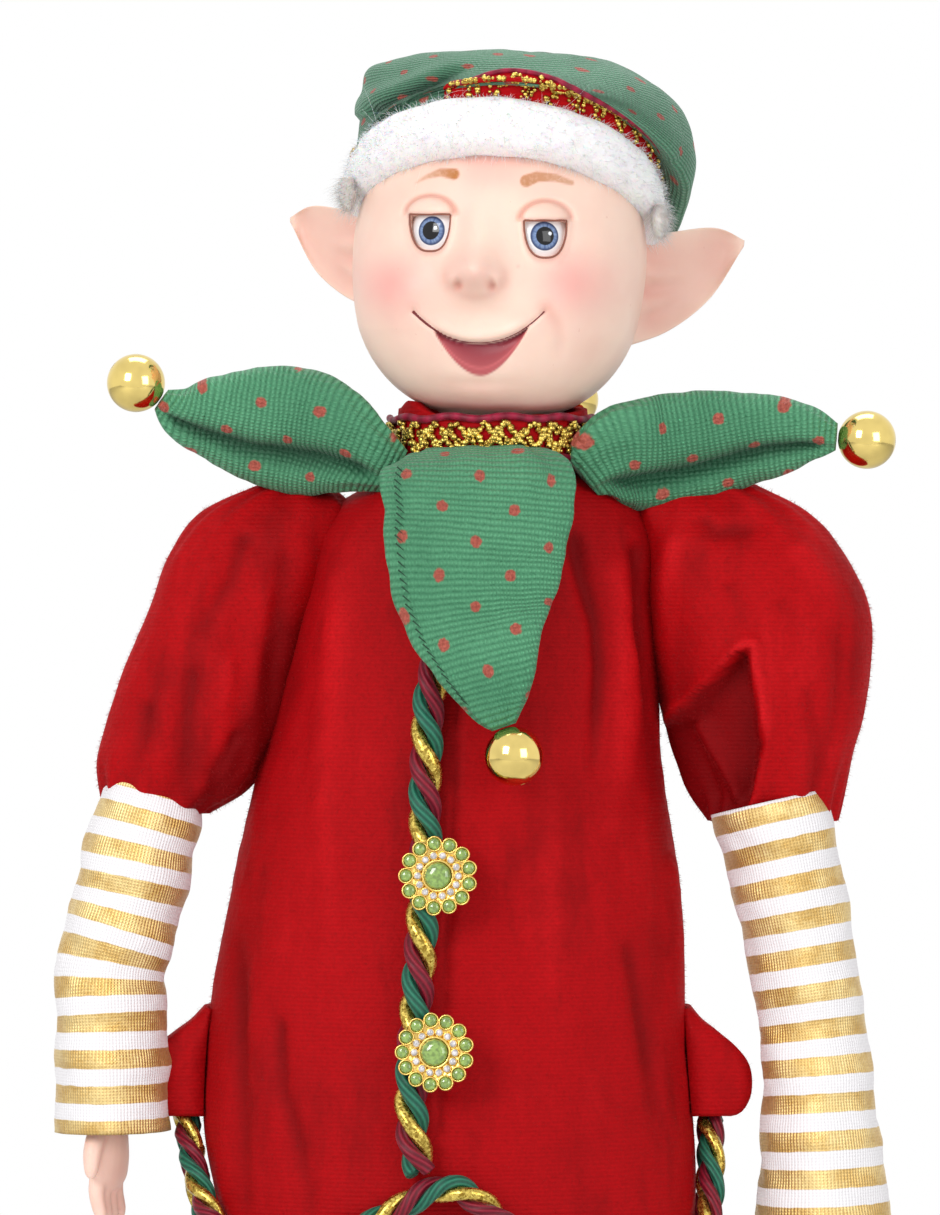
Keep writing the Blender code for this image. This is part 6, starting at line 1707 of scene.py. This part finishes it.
t = ring(160)
height = np.linspace(25, -15.6, 40)
row = smoothTable(legs["hips"], height)
fold = 1 + 0.02 * np.sin(14 * t)[None] * fade(height, 20, -5)[:, None]
grid = overHips(np.stack([-5 + row[:, :1] * np.cos(t) * fold, row[:, 1:2] * np.sin(t) * fold,
                          height[:, None] + 0 * t], -1))
wear(surface("breeches_hips", grid, tunicVelvet), "red_velvet", "breeches")
for name, sign in (("right", -1), ("left", 1)):
    middle = legs["centre"] + sign * legs["spread"]
    height = np.linspace(2, -62, 60)
    radius = smoothTable(legs["breechesShares"], height) * legs["breeches"]
    fold = 1 + (0.02 + 0.05 * fade(height, -40, -60)[:, None]) * np.sin(15 * t + 2 * np.sin(3 * t))[None]
    grid = overHips(np.stack([middle + radius * np.cos(t) * fold, 1 + radius * np.sin(t) * fold,
                              height[:, None] + 0 * t], -1))
    wear(surface("breeches_leg_" + name, grid, tunicVelvet), "red_velvet")
    height = np.linspace(-271, -54, 60)
    knots = np.linspace(29, 324, 7) - 300
    radius = smoothTable(np.column_stack([knots, np.array(legs["stockingShares"]) * legs["stocking"]]),
                         height)
    small = ring(48)
    radius = radius + 0.25 * np.sin(3 * small)[None]
    grid = overHips(np.stack([middle + radius * np.cos(small), 2 + radius * np.sin(small),
                              height[:, None] + 0 * small], -1))
    wear(surface("stocking_knit_" + name, grid, legStripe), "striped_cloth", "stocking_" + name)
    share = np.linspace(0, 1, 44)
    row = smoothTable(legs["boot"], share)
    around = ring(72)
    forward = -np.cos(around)
    narrow = 1 - 0.45 * np.clip(-forward, 0, None) ** 2
    x = middle + row[:, :1] * np.sin(around) * narrow
    y = row[:, 2:3] + row[:, 1:2] * forward
    z = 5.3 + 45.7 * share[:, None] + 0 * around
    grid = np.stack([x, y, z], -1) * mm
    grid += unit(grid - np.array([middle, 0, 30]) * mm) * (0.4 * softNoise(grid, 0.02, 95) * mm)[..., None]
    wear(surface("boot_felt_" + name, grid, bootFelt), "green_cloth", "boot_" + name)
    cuff = np.stack([middle + 16.9 * np.cos(around), 3 + 17.9 * np.sin(around), 49.5 + 0 * around], -1) * mm
    grid = tube(cuff, 2.2 * mm, 14, hint=cuff - cuff.mean(0), closed=True)
    wear(surface("boot_cuff_" + name, grid, whiteFur, aroundRows=True), "white_fur")
print("lower body made")

for node, finish in (("torso", fillCotton), ("arm_right", fillCotton), ("arm_left", fillCotton),
                     ("arm_wire", wireSteel),
                     ("spine_wire", wireSteel), ("leg_wire_right", wireSteel), ("leg_wire_left", wireSteel),
                     ("boot_sole_right", soleRubber), ("boot_sole_left", soleRubber)):
    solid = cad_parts[node]
    solid.data.materials.clear()
    solid.data.materials.append(finish)

# floor, backdrop, light and camera

studio = {"floorTone": 0.86, "worldLight": 0.54,
          # place, target, size and power of each lamp
          "keyLamp": ((-1.0, -1.5, 1.2), (0, 0, 0.44), (0.7, 0.9), 18.0),
          "fillLamp": ((1.1, -1.4, 0.8), (0, 0, 0.44), (0.8, 1.0), 8.5),
          "topLamp": ((0.0, 0.4, 1.7), (0, 0, 0.45), (0.9, 0.6), 6.0)}


# plain pale paper, which keeps the figure's shadow
def paperFinish(name):
    f = Finish(name, (studio["floorTone"],) * 3 + (1.0,), 0.9)
    pale, grey = (0.88, 0.88, 0.88, 1.0), (0.84, 0.84, 0.84, 1.0)
    f.set(Base_Color=f.mix(f.spread(f.noise(0.05), 0.3, 0.7), grey, pale))
    return f.material


grid = np.stack(np.meshgrid(np.linspace(-3, 3, 12), np.linspace(-1.5, 3, 12)), -1)
grid = np.concatenate([grid, np.zeros((12, 12, 1))], -1)
surface("floor", grid, paperFinish("floorPaper"), aroundColumns=False, caps=False)

world = bpy.data.worlds.new("studioWorld")
bpy.context.scene.world = world
world.use_nodes = True
tree = world.node_tree
background = tree.nodes["Background"]
background.inputs["Color"].default_value = (1.0, 1.0, 1.0, 1.0)
rays = tree.nodes.new("ShaderNodeLightPath")
seen = rays.outputs["Is Camera Ray"]
for kind in ("Is Glossy Ray", "Is Transmission Ray"):
    either = tree.nodes.new("ShaderNodeMath")
    either.operation = "MAXIMUM"
    tree.links.new(seen, either.inputs[0])
    tree.links.new(rays.outputs[kind], either.inputs[1])
    seen = either.outputs[0]
strength = tree.nodes.new("ShaderNodeMapRange")
strength.inputs["To Min"].default_value = studio["worldLight"]
strength.inputs["To Max"].default_value = 1.0
tree.links.new(seen, strength.inputs["Value"])
tree.links.new(strength.outputs[0], background.inputs["Strength"])


def addLamp(name, place, target, size, power):
    data = bpy.data.lights.new(name, "AREA")
    data.shape = "RECTANGLE"
    data.size, data.size_y = size
    data.energy = power
    lamp = bpy.data.objects.new(name, data)
    bpy.context.scene.collection.objects.link(lamp)
    lamp.location = place
    lamp.rotation_euler = (Vector(target) - Vector(place)).to_track_quat("-Z", "Y").to_euler()


for name in ("keyLamp", "fillLamp", "topLamp"):
    addLamp(name, *studio[name])

camera = bpy.data.objects.new("camera", bpy.data.cameras.new("camera"))
bpy.context.scene.collection.objects.link(camera)
camera.location = (0.0, cameraStand["plane"] - cameraStand["distance"], cameraStand["height"])
camera.rotation_euler = (np.pi / 2, 0, 0)
camera.data.sensor_width = 36.0
camera.data.lens = 36.0 * cameraStand["distance"] / cameraStand["frameHeight"]
camera.data.clip_start, camera.data.clip_end = 0.1, 30.0
bpy.context.scene.camera = camera
bpy.context.scene.view_settings.view_transform = "Standard"
print("stage set")
